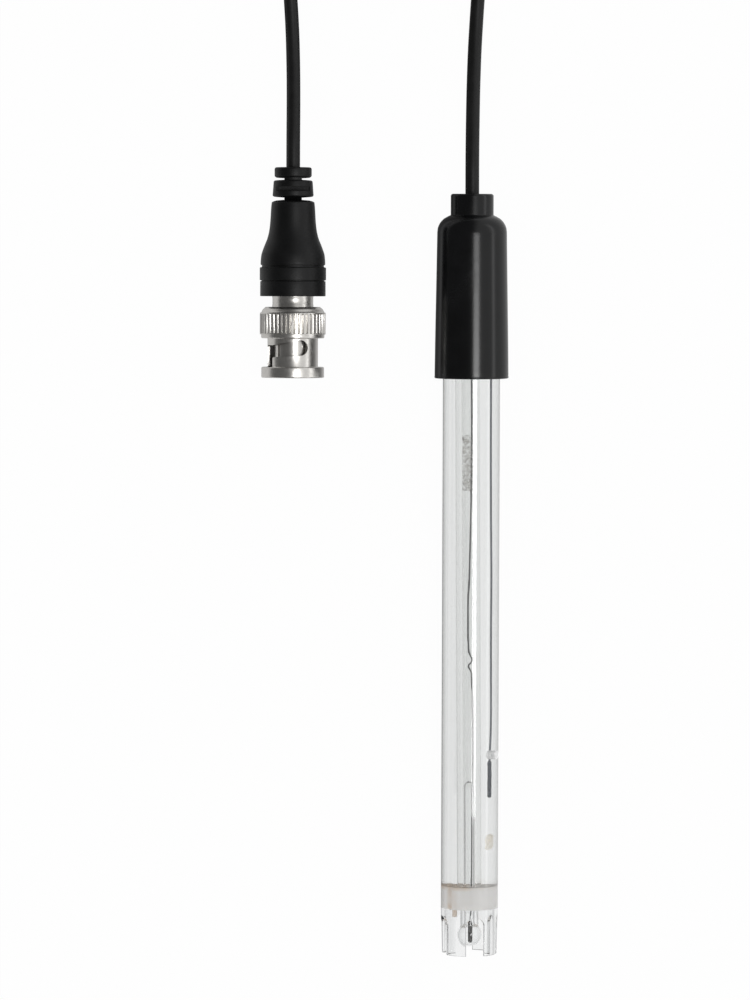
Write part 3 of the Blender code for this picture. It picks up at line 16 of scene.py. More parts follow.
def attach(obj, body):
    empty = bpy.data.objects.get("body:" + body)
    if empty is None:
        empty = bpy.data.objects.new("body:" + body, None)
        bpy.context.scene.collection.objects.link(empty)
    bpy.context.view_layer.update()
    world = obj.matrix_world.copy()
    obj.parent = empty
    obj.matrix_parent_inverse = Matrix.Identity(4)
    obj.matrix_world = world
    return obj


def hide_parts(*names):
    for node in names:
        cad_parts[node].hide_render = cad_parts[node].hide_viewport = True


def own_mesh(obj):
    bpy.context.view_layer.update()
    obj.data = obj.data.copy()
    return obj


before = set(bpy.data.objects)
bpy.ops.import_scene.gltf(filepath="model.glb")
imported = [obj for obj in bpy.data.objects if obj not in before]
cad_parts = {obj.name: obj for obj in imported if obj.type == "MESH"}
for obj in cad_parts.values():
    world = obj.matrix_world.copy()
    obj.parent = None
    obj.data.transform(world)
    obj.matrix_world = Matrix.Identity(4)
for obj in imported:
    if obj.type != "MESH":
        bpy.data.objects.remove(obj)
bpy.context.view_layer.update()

bl_info = {
    "name": "pH Electrode",
    "version": (1, 0, 0),
    "blender": (4, 5, 0),
    "location": "View3D > Sidebar > Electrode",
    "description": "Builds a combination pH electrode with its cord and bayonet connector",
    "category": "Object",
}

MM = 0.001
TAU = 2 * math.pi
QUARTER_X = Matrix.Rotation(math.pi / 2, 4, "X")

# Places along the electrode, in metres from its tip, as the solids have them
TIP_TAPER_LENGTH = 9.5 * MM
SEAL_LOW = 9.85 * MM
SEAL_HIGH = 14.5 * MM
SEAL_MIDDLE = (SEAL_LOW + SEAL_HIGH) / 2
PORT_PLACE = 42.4 * MM
CAP_RIM = 121.6 * MM
GEL_TOP = 135.8 * MM
TUBE_TOP = 143.6 * MM
CHAMBER_BOTTOM = 145.4 * MM
STEM_TOP = 146.3 * MM
CHAMBER_TOP = 153.3 * MM
CAP_TOP = 155.7 * MM
NECK_TOP = 160.3 * MM

# Widths of the electrode's pieces, and turns about its axis
TUBE_RADIUS = 6.0 * MM
TUBE_BORE = 5.0 * MM
TIP_TAPER = 0.2 * MM
CAP_LIP = 7.8 * MM
NECK_RADIUS = 4.5 * MM
RING_RADIUS = 3.1 * MM
PORT_RADIUS = 0.93 * MM
PORT_TURN = math.radians(66.0)
PLUG_REACH = 1.5 * MM
GUARD_TURN = math.radians(12.5)
OVERLAP = 0.02 * MM

# The electrode's rest on its cap's lip and its tube, and the lean of the stem inside it
REST_TILT = math.atan2(CAP_LIP - TUBE_RADIUS, CAP_RIM - TIP_TAPER_LENGTH)
TIP_Z = TUBE_RADIUS * math.cos(REST_TILT) - TIP_TAPER_LENGTH * math.sin(REST_TILT)
NECK_PAST_TIP = NECK_RADIUS - TUBE_RADIUS + TIP_TAPER
TIP_Y = -(NECK_TOP * math.cos(REST_TILT) + NECK_PAST_TIP * math.sin(REST_TILT)) / 2
PROBE = Matrix.Translation((0.0, TIP_Y, TIP_Z)) @ Matrix.Rotation(REST_TILT, 4, "X")
STEM_LEAN = math.radians(0.34)
STEM = (
    PROBE
    @ Matrix.Translation((0.0, SEAL_MIDDLE, 0.0))
    @ Matrix.Rotation(STEM_LEAN, 4, "Z")
    @ Matrix.Translation((0.0, -SEAL_MIDDLE, 0.0))
)

# The connector's axis and mating face, and places along it from that face
PLUG_X = -37.6 * MM
PLUG_FRONT = 41.45 * MM
PLUG_AXIS = 6.98 * MM
PLUG = Matrix.Translation((PLUG_X, PLUG_FRONT, PLUG_AXIS))
NUT_BACK = 14.86 * MM
BOOT_FRONT = 17.1 * MM
BOOT_BACK = 44.15 * MM
BAYONET_TURN = math.radians(-66.0)

# Cord
CORD_DIAMETER = 2.9 * MM
COIL_X = -18.8 * MM
COIL_Y = 168.0 * MM
COIL_RADIUS = 17.4 * MM
COIL_ROWS = (5, 4, 5, 4)
COIL_RISE = CORD_DIAMETER * math.sin(math.pi / 3)
COIL_SHIFT = 16.0 * MM
TIE_WIDTH = 14.0 * MM
ROUTE_FROM_CAP = (
    (0.0000, 0.0880, 0.00800),
    (0.0001, 0.0960, 0.00600),
    (0.0003, 0.1045, 0.00330),
    (0.0007, 0.1140, 0.00165),
    (0.0016, 0.1270, 0.00147),
    (0.0032, 0.1410, 0.00147),
)
ROUTE_TO_BOOT = (
    (-0.0376, 0.0920, 0.00660),
    (-0.0376, 0.0990, 0.00480),
    (-0.0377, 0.1070, 0.00235),
    (-0.0380, 0.1160, 0.00150),
    (-0.0387, 0.1260, 0.00180),
    (-0.0398, 0.1360, 0.00380),
    (-0.0408, 0.1460, 0.00660),
)

# Camera: the middle of the photograph's frame on the table, its height there, and the camera
VIEW_MIDDLE = Vector((-20.2 * MM, 15.75 * MM, 7.0 * MM))
VIEW_HEIGHT = 210.5 * MM
CAMERA_PLACE = Vector((-20.2 * MM, 61.0 * MM, 1.13))
CAMERA_ROLL = math.radians(0.18)
WINDOW_HEIGHT = 0.29

BLACK_MOULDING = (0.003, 0.0032, 0.0036)
BLACK_BOOT = (0.0038, 0.0040, 0.0043)
STAIN = (0.66, 0.49, 0.34)

GROUPS = {}
MATERIALS = {}


# Settings that a user may change


def length(name, description, default):
    return FloatProperty(name=name, description=description, default=default, unit="LENGTH")


def colour(name, description, default):
    return FloatVectorProperty(name=name, description=description, default=default, subtype="COLOR")


class ProbeSizes(bpy.types.PropertyGroup):
    tube_wall: length("Tube wall", "Wall of the clear body tube", 1.0 * MM)
    stem_diameter: length("Stem", "Diameter of the glass stem", 3.8 * MM)
    stem_bore: length("Stem bore", "Bore of the glass stem", 1.7 * MM)
    bulb_diameter: length("Bulb", "Diameter of the glass bulb", 5.2 * MM)
    wire_diameter: length("Inner wire", "Diameter of the inner wire", 0.28 * MM)
    guard_slots: IntProperty(
        name="Guard slots", description="Slots in the guard round the bulb", default=4, min=3, max=8
    )


class PlugSizes(bpy.types.PropertyGroup):
    grip_diameter: length("Grip", "Diameter over the nut's flutes", 13.84 * MM)
    flutes: IntProperty(
        name="Flutes", description="Flutes round the nut's grip", default=48, min=12, max=96
    )
    barrel_diameter: length("Barrel", "Diameter of the nut's barrel", 10.6 * MM)
    slot_width: length("Slot", "Width of the nut's bayonet slots", 2.5 * MM)


class Finishes(bpy.types.PropertyGroup):
    moulding: colour("Cap", "Colour of the glossy cap", BLACK_MOULDING)
    boot: colour("Boot", "Colour of the moulded boot", BLACK_BOOT)
    cord: colour("Cord", "Colour of the cord's jacket", (0.007, 0.007, 0.007))
    nickel: colour("Nickel", "Colour of the plated metal", (0.80, 0.78, 0.745))
    seal: colour("Seal", "Colour of the milky seal", (0.95, 0.94, 0.925))


# Node helpers


def add(tree, kind, inputs=None, **settings):
    """Adds a node. An input is a value, or another node's output to link."""
    made = tree.nodes.new(kind)
    for key, value in settings.items():
        setattr(made, key, value)
    for key, value in (inputs or {}).items():
        if isinstance(value, bpy.types.NodeSocket):
            tree.links.new(value, made.inputs[key])
        else:
            made.inputs[key].default_value = value
    return made


def maths(tree, operation, *values, clamp=False):
    inputs = dict(enumerate(values))
    return add(tree, "ShaderNodeMath", inputs, operation=operation, use_clamp=clamp).outputs[0]


def vector_maths(tree, operation, *values):
    return add(tree, "ShaderNodeVectorMath", dict(enumerate(values)), operation=operation).outputs


def axes(tree, vector):
    """The vector's X, Y and Z."""
    return add(tree, "ShaderNodeSeparateXYZ", {"Vector": vector}).outputs


def blend_colours(tree, share, first, second):
    """A colour between two, each a colour or a node's output."""
    inputs = {0: share}
    for index, value in ((6, first), (7, second)):
        inputs[index] = value if isinstance(value, bpy.types.NodeSocket) else (*value, 1.0)
    return add(tree, "ShaderNodeMix", inputs, data_type="RGBA").outputs[2]


def remap(tree, value, low, high, new_low, new_high):
    inputs = {"Value": value, "From Min": low, "From Max": high}
    inputs |= {"To Min": new_low, "To Max": new_high}
    return add(tree, "ShaderNodeMapRange", inputs).outputs["Result"]


def noise_map(tree, vector, per_mm, detail, roughness=0.5):
    """Noise with the given number of grains to a millimetre."""
    scale = maths(tree, "MULTIPLY", per_mm, 1000.0)
    inputs = {"Vector": vector, "Scale": scale, "Detail": detail, "Roughness": roughness}
    return add(tree, "ShaderNodeTexNoise", inputs).outputs


def link(tree, shader, **outputs):
    """Links outputs to the shader's inputs, whose names have underscores for spaces here."""
    for label, output in outputs.items():
        tree.links.new(output, shader.inputs[label.replace("_", " ")])


def shader_group(name, amounts, results):
    """An empty node group with a vector, amounts and results, and its sockets on the inside."""
    group = bpy.data.node_groups.new(name, "ShaderNodeTree")
    group.interface.new_socket("Vector", in_out="INPUT", socket_type="NodeSocketVector")
    for label, value in amounts.items():
        socket = group.interface.new_socket(label, in_out="INPUT", socket_type="NodeSocketFloat")
        socket.default_value = value
    for label in results:
        group.interface.new_socket(label, in_out="OUTPUT", socket_type="NodeSocketFloat")
    given = group.nodes.new("NodeGroupInput").outputs
    return group, given, group.nodes.new("NodeGroupOutput")


def moulded_grain():
    """Fine texture of a moulded surface, and slow mottling of its tone."""
    amounts = {"Grain per mm": 3.0, "Mottle per mm": 0.3}
    group, given, end = shader_group("Moulded grain", amounts, ("Height", "Mottle"))
    fine = noise_map(group, given["Vector"], given["Grain per mm"], 3.0, 0.6)
    slow = noise_map(group, given["Vector"], given["Mottle per mm"], 4.0)
    mottle = remap(group, slow["Fac"], 0.35, 0.65, 0.0, 1.0)
    link(group, end, Height=fine["Fac"], Mottle=mottle)
    return group


def handling_wear():
    """Hair scratches and rubbed patches, as masks that dull or brighten a surface."""
    amounts = {"Scratches per mm": 0.5, "Patches per mm": 0.12}
    group, given, end = shader_group("Handling wear", amounts, ("Scratches", "Patches"))
    bent = noise_map(group, given["Vector"], given["Patches per mm"], 2.0)
    pushed = vector_maths(group, "MULTIPLY", bent["Color"], (2.0 * MM, 2.0 * MM, 2.0 * MM))
    place = vector_maths(group, "ADD", given["Vector"], pushed[0])
    density = maths(group, "MULTIPLY", given["Scratches per mm"], 1000.0)
    cells = {"Vector": place[0], "Scale": density}
    lines = add(group, "ShaderNodeTexVoronoi", cells, feature="DISTANCE_TO_EDGE")
    rubbed = noise_map(group, given["Vector"], given["Patches per mm"], 5.0, 0.65)
    scratches = remap(group, lines.outputs["Distance"], 0.0, 0.012, 1.0, 0.0)
    link(group, end, Scratches=scratches, Patches=remap(group, rubbed["Fac"], 0.5, 0.68, 0.0, 1.0))
    return group


def turning_marks():
    """Rings that a lathe leaves round the Y axis, with fine pitting between them."""
    amounts = {"Rings per mm": 8.0, "Pits per mm": 1.5}
    group, given, end = shader_group("Turning marks", amounts, ("Height", "Tarnish"))
    along = vector_maths(group, "MULTIPLY", given["Vector"], (0.04, 1.0, 0.04))
    rings = noise_map(group, along[0], given["Rings per mm"], 1.0)
    pits = noise_map(group, given["Vector"], given["Pits per mm"], 6.0, 0.7)
    link(group, end, Height=rings["Fac"], Tarnish=remap(group, pits["Fac"], 0.42, 0.7, 0.0, 1.0))
    return group


EFFECTS = {
    "Moulded grain": moulded_grain,
    "Handling wear": handling_wear,
    "Turning marks": turning_marks,
}


def effect(tree, name, coordinates, **amounts):
    """Places one of the shared effects in a material's tree."""
    if name not in GROUPS:
        GROUPS[name] = EFFECTS[name]()
    made = add(tree, "ShaderNodeGroup", node_tree=GROUPS[name])
    tree.links.new(coordinates, made.inputs["Vector"])
    for label, value in amounts.items():
        made.inputs[label.replace("_", " ")].default_value = value
    return made.outputs


# Materials


def finish(name, colour, roughness, metallic=0.0, clear=0.0, ior=1.5, specular=0.5):
    """A material with its Principled shader and an Object coordinate, both ready to link."""
    material = bpy.data.materials.new(name)
    MATERIALS[name] = material
    material.use_nodes = True
    material.diffuse_color = (*colour, 1.0)
    tree = material.node_tree
    shader = tree.nodes["Principled BSDF"]
    values = {
        "Base Color": (*colour, 1.0),
        "Roughness": roughness,
        "Metallic": metallic,
        "Transmission Weight": clear,
        "IOR": ior,
        "Specular IOR Level": specular,
    }
    for label, value in values.items():
        shader.inputs[label].default_value = value
    return tree, shader, add(tree, "ShaderNodeTexCoord").outputs["Object"]


def bump(tree, shader, height, strength, depth):
    """Raises the surface by height, at most depth metres."""
    made = add(tree, "ShaderNodeBump", {"Height": height, "Strength": strength, "Distance": depth})
    link(tree, shader, Normal=made.outputs["Normal"])


def painted_glow(tree, shader, tone, share):
    """Paints a glow into milky stuff in the tube: emission of its own tone, as painted light for the
    light that its wall turns round and a render loses.
    """
    if share:
        link(tree, shader, Emission_Color=tone)
        shader.inputs["Emission Strength"].default_value = share


def scaled(colour, share):
    return tuple(min(1.0, part * share) for part in colour)


def moulded(name, colour, roughness, grain, depth, specular=0.5, patch=0.12, scratch=0.15):
    """Moulded or rubbery stuff: grain, slow mottling, rubbed patches and a few hair scratches."""
    tree, shader, place = finish(name, colour, roughness, specular=specular)
    marks = effect(tree, "Moulded grain", place, Grain_per_mm=grain)
    wear = effect(tree, "Handling wear", place)
    tone = blend_colours(tree, marks["Mottle"], scaled(colour, 0.8), scaled(colour, 1.25))
    worn = maths(tree, "MULTIPLY", wear["Patches"], 0.5)
    tone = blend_colours(tree, worn, tone, scaled(colour, 1.9))
    dull = remap(tree, wear["Patches"], 0.0, 1.0, roughness, roughness + patch)
    shine = maths(tree, "MULTIPLY_ADD", wear["Scratches"], scratch, dull)
    link(tree, shader, Base_Color=tone, Roughness=shine)
    bump(tree, shader, marks["Height"], 0.5, depth)


def metal(name, colour, roughness, rings=2.5, tarnish=None, metallic=1.0, inner=0.0):
    """Turned and plated metal: lathe rings, tarnish in patches, scratches, and painted shade inside
    the given radius.
    """
    tree, shader, place = finish(name, colour, roughness, metallic=metallic)
    shift = {"Vector": place, "Location": (-PLUG_X, 0.0, -PLUG_AXIS)}
    centred = add(tree, "ShaderNodeMapping", shift).outputs[0]
    marks = effect(tree, "Turning marks", centred, Rings_per_mm=rings)
    wear = effect(tree, "Handling wear", place, Scratches_per_mm=0.35)
    share = maths(tree, "MULTIPLY", marks["Tarnish"], 0.3)
    tone = blend_colours(tree, share, colour, tarnish or scaled(colour, 0.72))
    # Painted shade: inside the given radius, such as the nut's bore and slot walls, the colour falls
    # to 0.4 of itself.
    if inner:
        flat = vector_maths(tree, "MULTIPLY", centred, (1.0, 0.0, 1.0))
        radius = vector_maths(tree, "LENGTH", flat[0])["Value"]
        outside = remap(tree, radius, inner - 0.16 * MM, inner - 0.04 * MM, 0.0, 1.0)
        tone = blend_colours(tree, outside, scaled(colour, 0.4), tone)
    dull = remap(tree, marks["Tarnish"], 0.0, 1.0, roughness, roughness + 0.1)
    rough = maths(tree, "MULTIPLY_ADD", wear["Scratches"], 0.06, dull)
    link(tree, shader, Base_Color=tone, Roughness=rough)
    bump(tree, shader, marks["Height"], 0.3, 0.004 * MM)


def clear(name, colour, roughness, ior, wear_depth=0.0):
    """Clear plastic, glass or gel: plain transmission with the faintest waviness."""
    tree, shader, place = finish(name, colour, roughness, clear=1.0, ior=ior)
    marks = effect(tree, "Moulded grain", place, Grain_per_mm=0.35, Mottle_per_mm=0.1)
    wear = effect(tree, "Handling wear", place, Scratches_per_mm=0.25)
    dull = remap(tree, wear["Scratches"], 0.0, 1.0, roughness, roughness + 0.06)
    link(tree, shader, Roughness=dull)
    bump(tree, shader, marks["Height"], 0.3, wear_depth)


def speckled(name, first, second, roughness, scale, depth, clear=0.0, glow=0.0):
    """A porous or crystalline surface of two colours, which lets a share of the light through and has
    a painted glow.
    """
    tree, shader, place = finish(name, first, roughness, clear=clear, ior=1.05)
    marks = effect(tree, "Moulded grain", place, Grain_per_mm=scale, Mottle_per_mm=scale * 0.6)
    tone = blend_colours(tree, marks["Mottle"], first, second)
    # Painted glow: the surface emits its own tone at the glow's strength.
    painted_glow(tree, shader, tone, glow)
    dull = remap(tree, marks["Mottle"], 0.0, 1.0, roughness, roughness - 0.15)
    link(tree, shader, Base_Color=tone, Roughness=dull)
    bump(tree, shader, marks["Height"], 0.8, depth)


def dry_paste(pale, dark):
    """The paste in the stem's bore: pale on its right, dark and blotched on its left."""
    tree, shader, place = finish("dry_paste", pale, 0.7, clear=0.2, ior=1.05)
    marks = effect(tree, "Moulded grain", place, Grain_per_mm=1.4, Mottle_per_mm=1.3)
    left = remap(tree, axes(tree, place)["X"], 0.1 * MM, 0.9 * MM, 0.75, 0.0)
    blotch = remap(tree, marks["Mottle"], 0.2, 0.7, 0.0, 1.0)
    tone = blend_colours(tree, maths(tree, "MULTIPLY_ADD", left, blotch, 0.08), pale, dark)
    # Painted glow: the paste emits its own tone at strength 0.2.
    painted_glow(tree, shader, tone, 0.2)
    thick = remap(tree, marks["Height"], 0.44, 0.62, 0.05, 0.7)
    link(tree, shader, Base_Color=tone, Alpha=thick)
    bump(tree, shader, marks["Height"], 0.8, 0.08 * MM)


def milky_seal(colour):
    """The seal: milky, stained where the wick shows through and on its upper left edge."""
    tree, shader, place = finish("milky_seal", colour, 0.5, clear=0.35, ior=1.05)
    marks = effect(tree, "Moulded grain", place, Grain_per_mm=1.6, Mottle_per_mm=0.7)
    spot = axes(tree, place)
    top = TIP_Y + SEAL_HIGH
    edge = remap(tree, spot["Y"], top - 0.9 * MM, top, 0.0, 1.0)
    left = remap(tree, spot["X"], -1.0 * MM, 0.5 * MM, 1.0, 0.25)
    edge = maths(tree, "MULTIPLY", edge, left)
    across = maths(tree, "ABSOLUTE", maths(tree, "ADD", spot["X"], RING_RADIUS * 1.25))
    wick = remap(tree, across, 0.15 * MM, 0.55 * MM, 0.7, 0.0)
    patchy = remap(tree, marks["Mottle"], 0.0, 1.0, 0.35, 0.8)
    stain = maths(tree, "MULTIPLY", maths(tree, "MAXIMUM", edge, wick), patchy)
    tone = blend_colours(tree, marks["Mottle"], scaled(colour, 0.96), scaled(colour, 1.03))
    tone = blend_colours(tree, stain, tone, STAIN)
    link(tree, shader, Base_Color=tone)
    # Painted glow: the seal emits its own tone at strength 0.16.
    painted_glow(tree, shader, tone, 0.16)
    bump(tree, shader, marks["Height"], 0.3, 0.02 * MM)


def woven(name, colour):
    """Strap fabric: warp and weft as two crossed waves."""
    tree, shader, place = finish(name, colour, 0.85)
    fine = {"Vector": place, "Scale": 900.0, "Distortion": 0.4, "Detail": 1.0}
    warp, weft = (
        add(tree, "ShaderNodeTexWave", fine, bands_direction=way).outputs["Fac"]
        for way in ("X", "DIAGONAL")
    )
    weave = maths(tree, "MAXIMUM", warp, weft)
    tone = blend_colours(tree, weave, scaled(colour, 0.5), scaled(colour, 1.6))
    link(tree, shader, Base_Color=tone)
    bump(tree, shader, weave, 0.8, 0.12 * MM)


def make_materials():
    tints = bpy.context.scene.electrode_finishes
    barrel = bpy.context.scene.electrode_plug.barrel_diameter / 2
    clear("clear_plastic", (0.93, 0.935, 0.935), 0.03, 1.58, 0.004 * MM)
    clear("stem_glass", (0.97, 0.975, 0.975), 0.0, 1.5)
    clear("clear_gel", (0.975, 0.975, 0.97), 0.0, 1.35)
    moulded("black_gloss", tints.moulding, 0.2, 1.2, 0.006 * MM, 0.45, 0.08, 0.03)
    # The last number given to speckled is a painted glow: 0.22 on the fill plug, 0.12 on the wick,
    # 0.45 on the salt crystal.
    speckled("plug_plastic", (0.95, 0.95, 0.95), (0.92, 0.92, 0.92), 0.3, 1.0, 0.0, 0.5, 0.22)
    moulded("black_boot", tints.boot, 0.43, 4.0, 0.05 * MM, 0.32)
    moulded("cord_jacket", tints.cord, 0.45, 4.0, 0.03 * MM, 0.34)
    moulded("stopper_rubber", (0.05, 0.05, 0.05), 0.7, 4.0, 0.04 * MM)
    moulded("potting_resin", (0.02, 0.02, 0.02), 0.35, 1.0, 0.02 * MM)
    moulded("splice_sleeve", (0.30, 0.025, 0.025), 0.5, 3.0, 0.02 * MM)
    moulded("gasket_rubber", (0.30, 0.08, 0.05), 0.6, 4.0, 0.02 * MM)
    moulded("white_ptfe", (0.80, 0.80, 0.78), 0.38, 2.0, 0.01 * MM)
    milky_seal(tints.seal)
    speckled("wick_beige", (0.90, 0.82, 0.73), (0.82, 0.71, 0.61), 0.8, 6.0, 0.05 * MM, 0.1, 0.12)
    speckled("silver_chloride", (0.17, 0.17, 0.17), (0.10, 0.095, 0.09), 0.75, 5.0, 0.03 * MM)
    speckled("grey_chloride", (0.30, 0.32, 0.36), (0.20, 0.22, 0.25), 0.75, 5.0, 0.03 * MM)
    speckled("salt_crystal", (1.0, 0.96, 0.88), (0.96, 0.90, 0.79), 0.6, 1.2, 0.08 * MM, 0.0, 0.45)
    dry_paste((0.96, 0.94, 0.90), (0.40, 0.36, 0.31))
    metal("nickel_plate", tints.nickel, 0.28)
    # The nut's nickel has painted shade inside its barrel's radius.
    metal("nut_nickel_painted_shade", tints.nickel, 0.28, inner=barrel)
    metal("silver_wire", (0.32, 0.34, 0.38), 0.35, 3.0, metallic=0.6)
    metal("dark_wire", (0.07, 0.07, 0.07), 0.4, 3.0, metallic=0.5)
    metal("spring_steel", (0.50, 0.50, 0.52), 0.3, 5.0)
    metal("gilt_pin", (0.86, 0.62, 0.26), 0.2, 6.0, (0.55, 0.38, 0.16))
    woven("strap_fabric", (0.022, 0.022, 0.024))


# Modelling helpers


def arc(centre, radius, start, end, steps=6):
    """Points on an arc, as (radius, along) pairs. Angles in degrees, from the radial axis."""
    turns = [math.radians(start + (end - start) * i / steps) for i in range(steps + 1)]
    across, along = centre
    return [(across + radius * math.cos(turn), along + radius * math.sin(turn)) for turn in turns]


def in_mm(*points):
    return [(first * MM, second * MM) for first, second in points]


def smooth_through(points, step):
    """Points about a step apart on a smooth curve through the given ones."""
    points = [Vector(point) for point in points]
    ends = [2 * points[0] - points[1], *points, 2 * points[-1] - points[-2]]
    route = [points[0]]
    for before, here, there, after in zip(ends, ends[1:], ends[2:], ends[3:]):
        pieces = max(1, round((there - here).length / step))
        first = there - before
        second = 2 * before - 5 * here + 4 * there - after
        third = 3 * here - before - 3 * there + after
        for i in range(1, pieces + 1):
            share = i / pieces
            route.append(0.5 * (2 * here + first * share + second * share**2 + third * share**3))
    return route


def spun(outline, steps=96):
    """A bmesh of the outline turned about the Y axis. What lies on the axis isn't turned."""
    shape = bmesh.new()
    points = [shape.verts.new((radius, along, 0.0)) for radius, along in outline]
    pairs = [pair for pair in zip(points, points[1:]) if pair[0].co.x or pair[1].co.x]
    if points[0].co.x or points[-1].co.x:
        pairs.append((points[-1], points[0]))
    bmesh.ops.spin(
        shape,
        geom=points + [shape.edges.new(pair) for pair in pairs],
        cent=(0.0, 0.0, 0.0),
        axis=(0.0, 1.0, 0.0),
        angle=TAU,
        steps=steps,
        use_merge=True,
    )
    bmesh.ops.remove_doubles(shape, verts=shape.verts, dist=1e-7)
    bmesh.ops.recalc_face_normals(shape, faces=shape.faces)
    return shape


def mesh_of(name, shape):
    """A mesh made of a bmesh, which is freed."""
    mesh = bpy.data.meshes.new(name)
    shape.to_mesh(mesh)
    shape.free()
    return mesh


def linked(name, data):
    """A new object in the scene."""
    obj = bpy.data.objects.new(name, data)
    bpy.context.scene.collection.objects.link(obj)
    return obj


def join(shape, other):
    """Adds one bmesh to another and frees it."""
    spare = mesh_of("spare", other)
    shape.from_mesh(spare)
    bpy.data.meshes.remove(spare)


def block(low, high, turn=None):
    """A box between two corners, turned about Y if asked."""
    shape = bmesh.new()
    low, high = Vector(low), Vector(high)
    bmesh.ops.create_cube(shape, size=1.0)
    place = Matrix.Translation((low + high) / 2) @ Matrix.Diagonal((*(high - low), 1.0))
    bmesh.ops.transform(shape, matrix=(turn or Matrix.Identity(4)) @ place, verts=shape.verts)
    return shape


def about_axis(turn):
    """A turn about the Y axis, measured from +Z towards +X."""
    return Matrix.Rotation(turn, 4, "Y")


def rod(radius, depth, place, steps=72):
    """A round cutter along the place's Z axis."""
    shape = bmesh.new()
    ends = {"radius1": radius, "radius2": radius, "cap_ends": True}
    bmesh.ops.create_cone(shape, segments=steps, depth=depth, matrix=place, **ends)
    return shape


def port_drill(radius):
    """A cutter along the fill hole's axis, from the foot of its plug to outside the tube."""
    depth = PLUG_REACH + 3.0 * MM
    middle = Matrix.Translation((0.0, 0.0, TUBE_BORE - PLUG_REACH + depth / 2))
    place = Matrix.Translation((0.0, PORT_PLACE, 0.0)) @ about_axis(PORT_TURN) @ middle
    return rod(radius, depth, place, 48)


def stem_drill(radius, middle, depth):
    """A cutter along the leaning stem, in the upright electrode's place."""
    hole = rod(radius, depth, Matrix.Translation((0.0, middle, 0.0)) @ QUARTER_X)
    bmesh.ops.transform(hole, matrix=PROBE.inverted() @ STEM, verts=hole.verts)
    return hole


def carve(shape, *cutters):
    """Cuts closed shapes out of a bmesh and gives back what is left."""
    blank = linked("blank", mesh_of("blank", shape))
    made = [blank]
    for i, cutter in enumerate(cutters):
        made.append(linked(f"cutter_{i}", mesh_of(f"cutter_{i}", cutter)))
        modifier = blank.modifiers.new(f"cutter_{i}", "BOOLEAN")
        modifier.operation = "DIFFERENCE"
        modifier.solver = "EXACT"
        modifier.object = made[-1]
    bpy.context.view_layer.update()
    graph = bpy.context.evaluated_depsgraph_get()
    result = bmesh.new()
    result.from_mesh(blank.evaluated_get(graph).to_mesh())
    for obj in made:
        mesh = obj.data
        bpy.data.objects.remove(obj)
        bpy.data.meshes.remove(mesh)
    bmesh.ops.remove_doubles(result, verts=result.verts, dist=1e-7)
    return result


def declare(name, data, slot, material, body, nodes):
    """Makes a piece of finished data, with its finish (the material given, else the slot's), its
    body, and the nodes it stands for hidden.
    """
    data.materials.append(MATERIALS[material or slot])
    obj = linked(name, data)
    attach(obj, body)
    if nodes:
        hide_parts(*nodes)
    return obj


def piece(name, shape, place, slot, *nodes, body="probe", material=None, sharp=35.0):
    """A finished piece made of a bmesh, placed and shaded, which stands for CAD nodes."""
    bmesh.ops.transform(shape, matrix=place, verts=shape.verts)
    mesh = mesh_of(name, shape)
    mesh.shade_smooth()
    mesh.set_sharp_from_angle(angle=math.radians(sharp))
    return declare(name, mesh, slot, material, body, nodes)


def line(name, points, diameter, slot, *nodes, resolution=4, material=None):
    """A round wire or cord on one open spline."""
    curve = bpy.data.curves.new(name, "CURVE")
    curve.dimensions = "3D"
    curve.bevel_depth = diameter / 2
    curve.bevel_resolution = resolution
    curve.use_fill_caps = True
    spline = curve.splines.new("POLY")
    spline.points.add(len(points) - 1)
    for point, spot in zip(spline.points, points):
        point.co = (*spot, 1.0)
    spline.use_smooth = True
    return declare(name, curve, slot, material, "probe", nodes)


def roughen(shape, size, depth, seed):
    """Moves every vertex along its normal by smooth noise."""
    shape.normal_update()
    shift = Vector((seed * 7.3, seed * 3.1, seed * 5.7))
    for vert in shape.verts:
        vert.co += vert.normal * depth * noise.noise(vert.co / size + shift)


def new_verts(made):
    """The vertices among the geometry that a bmesh operation made."""
    return [item for item in made["geom"] if isinstance(item, bmesh.types.BMVert)]


# Electrode


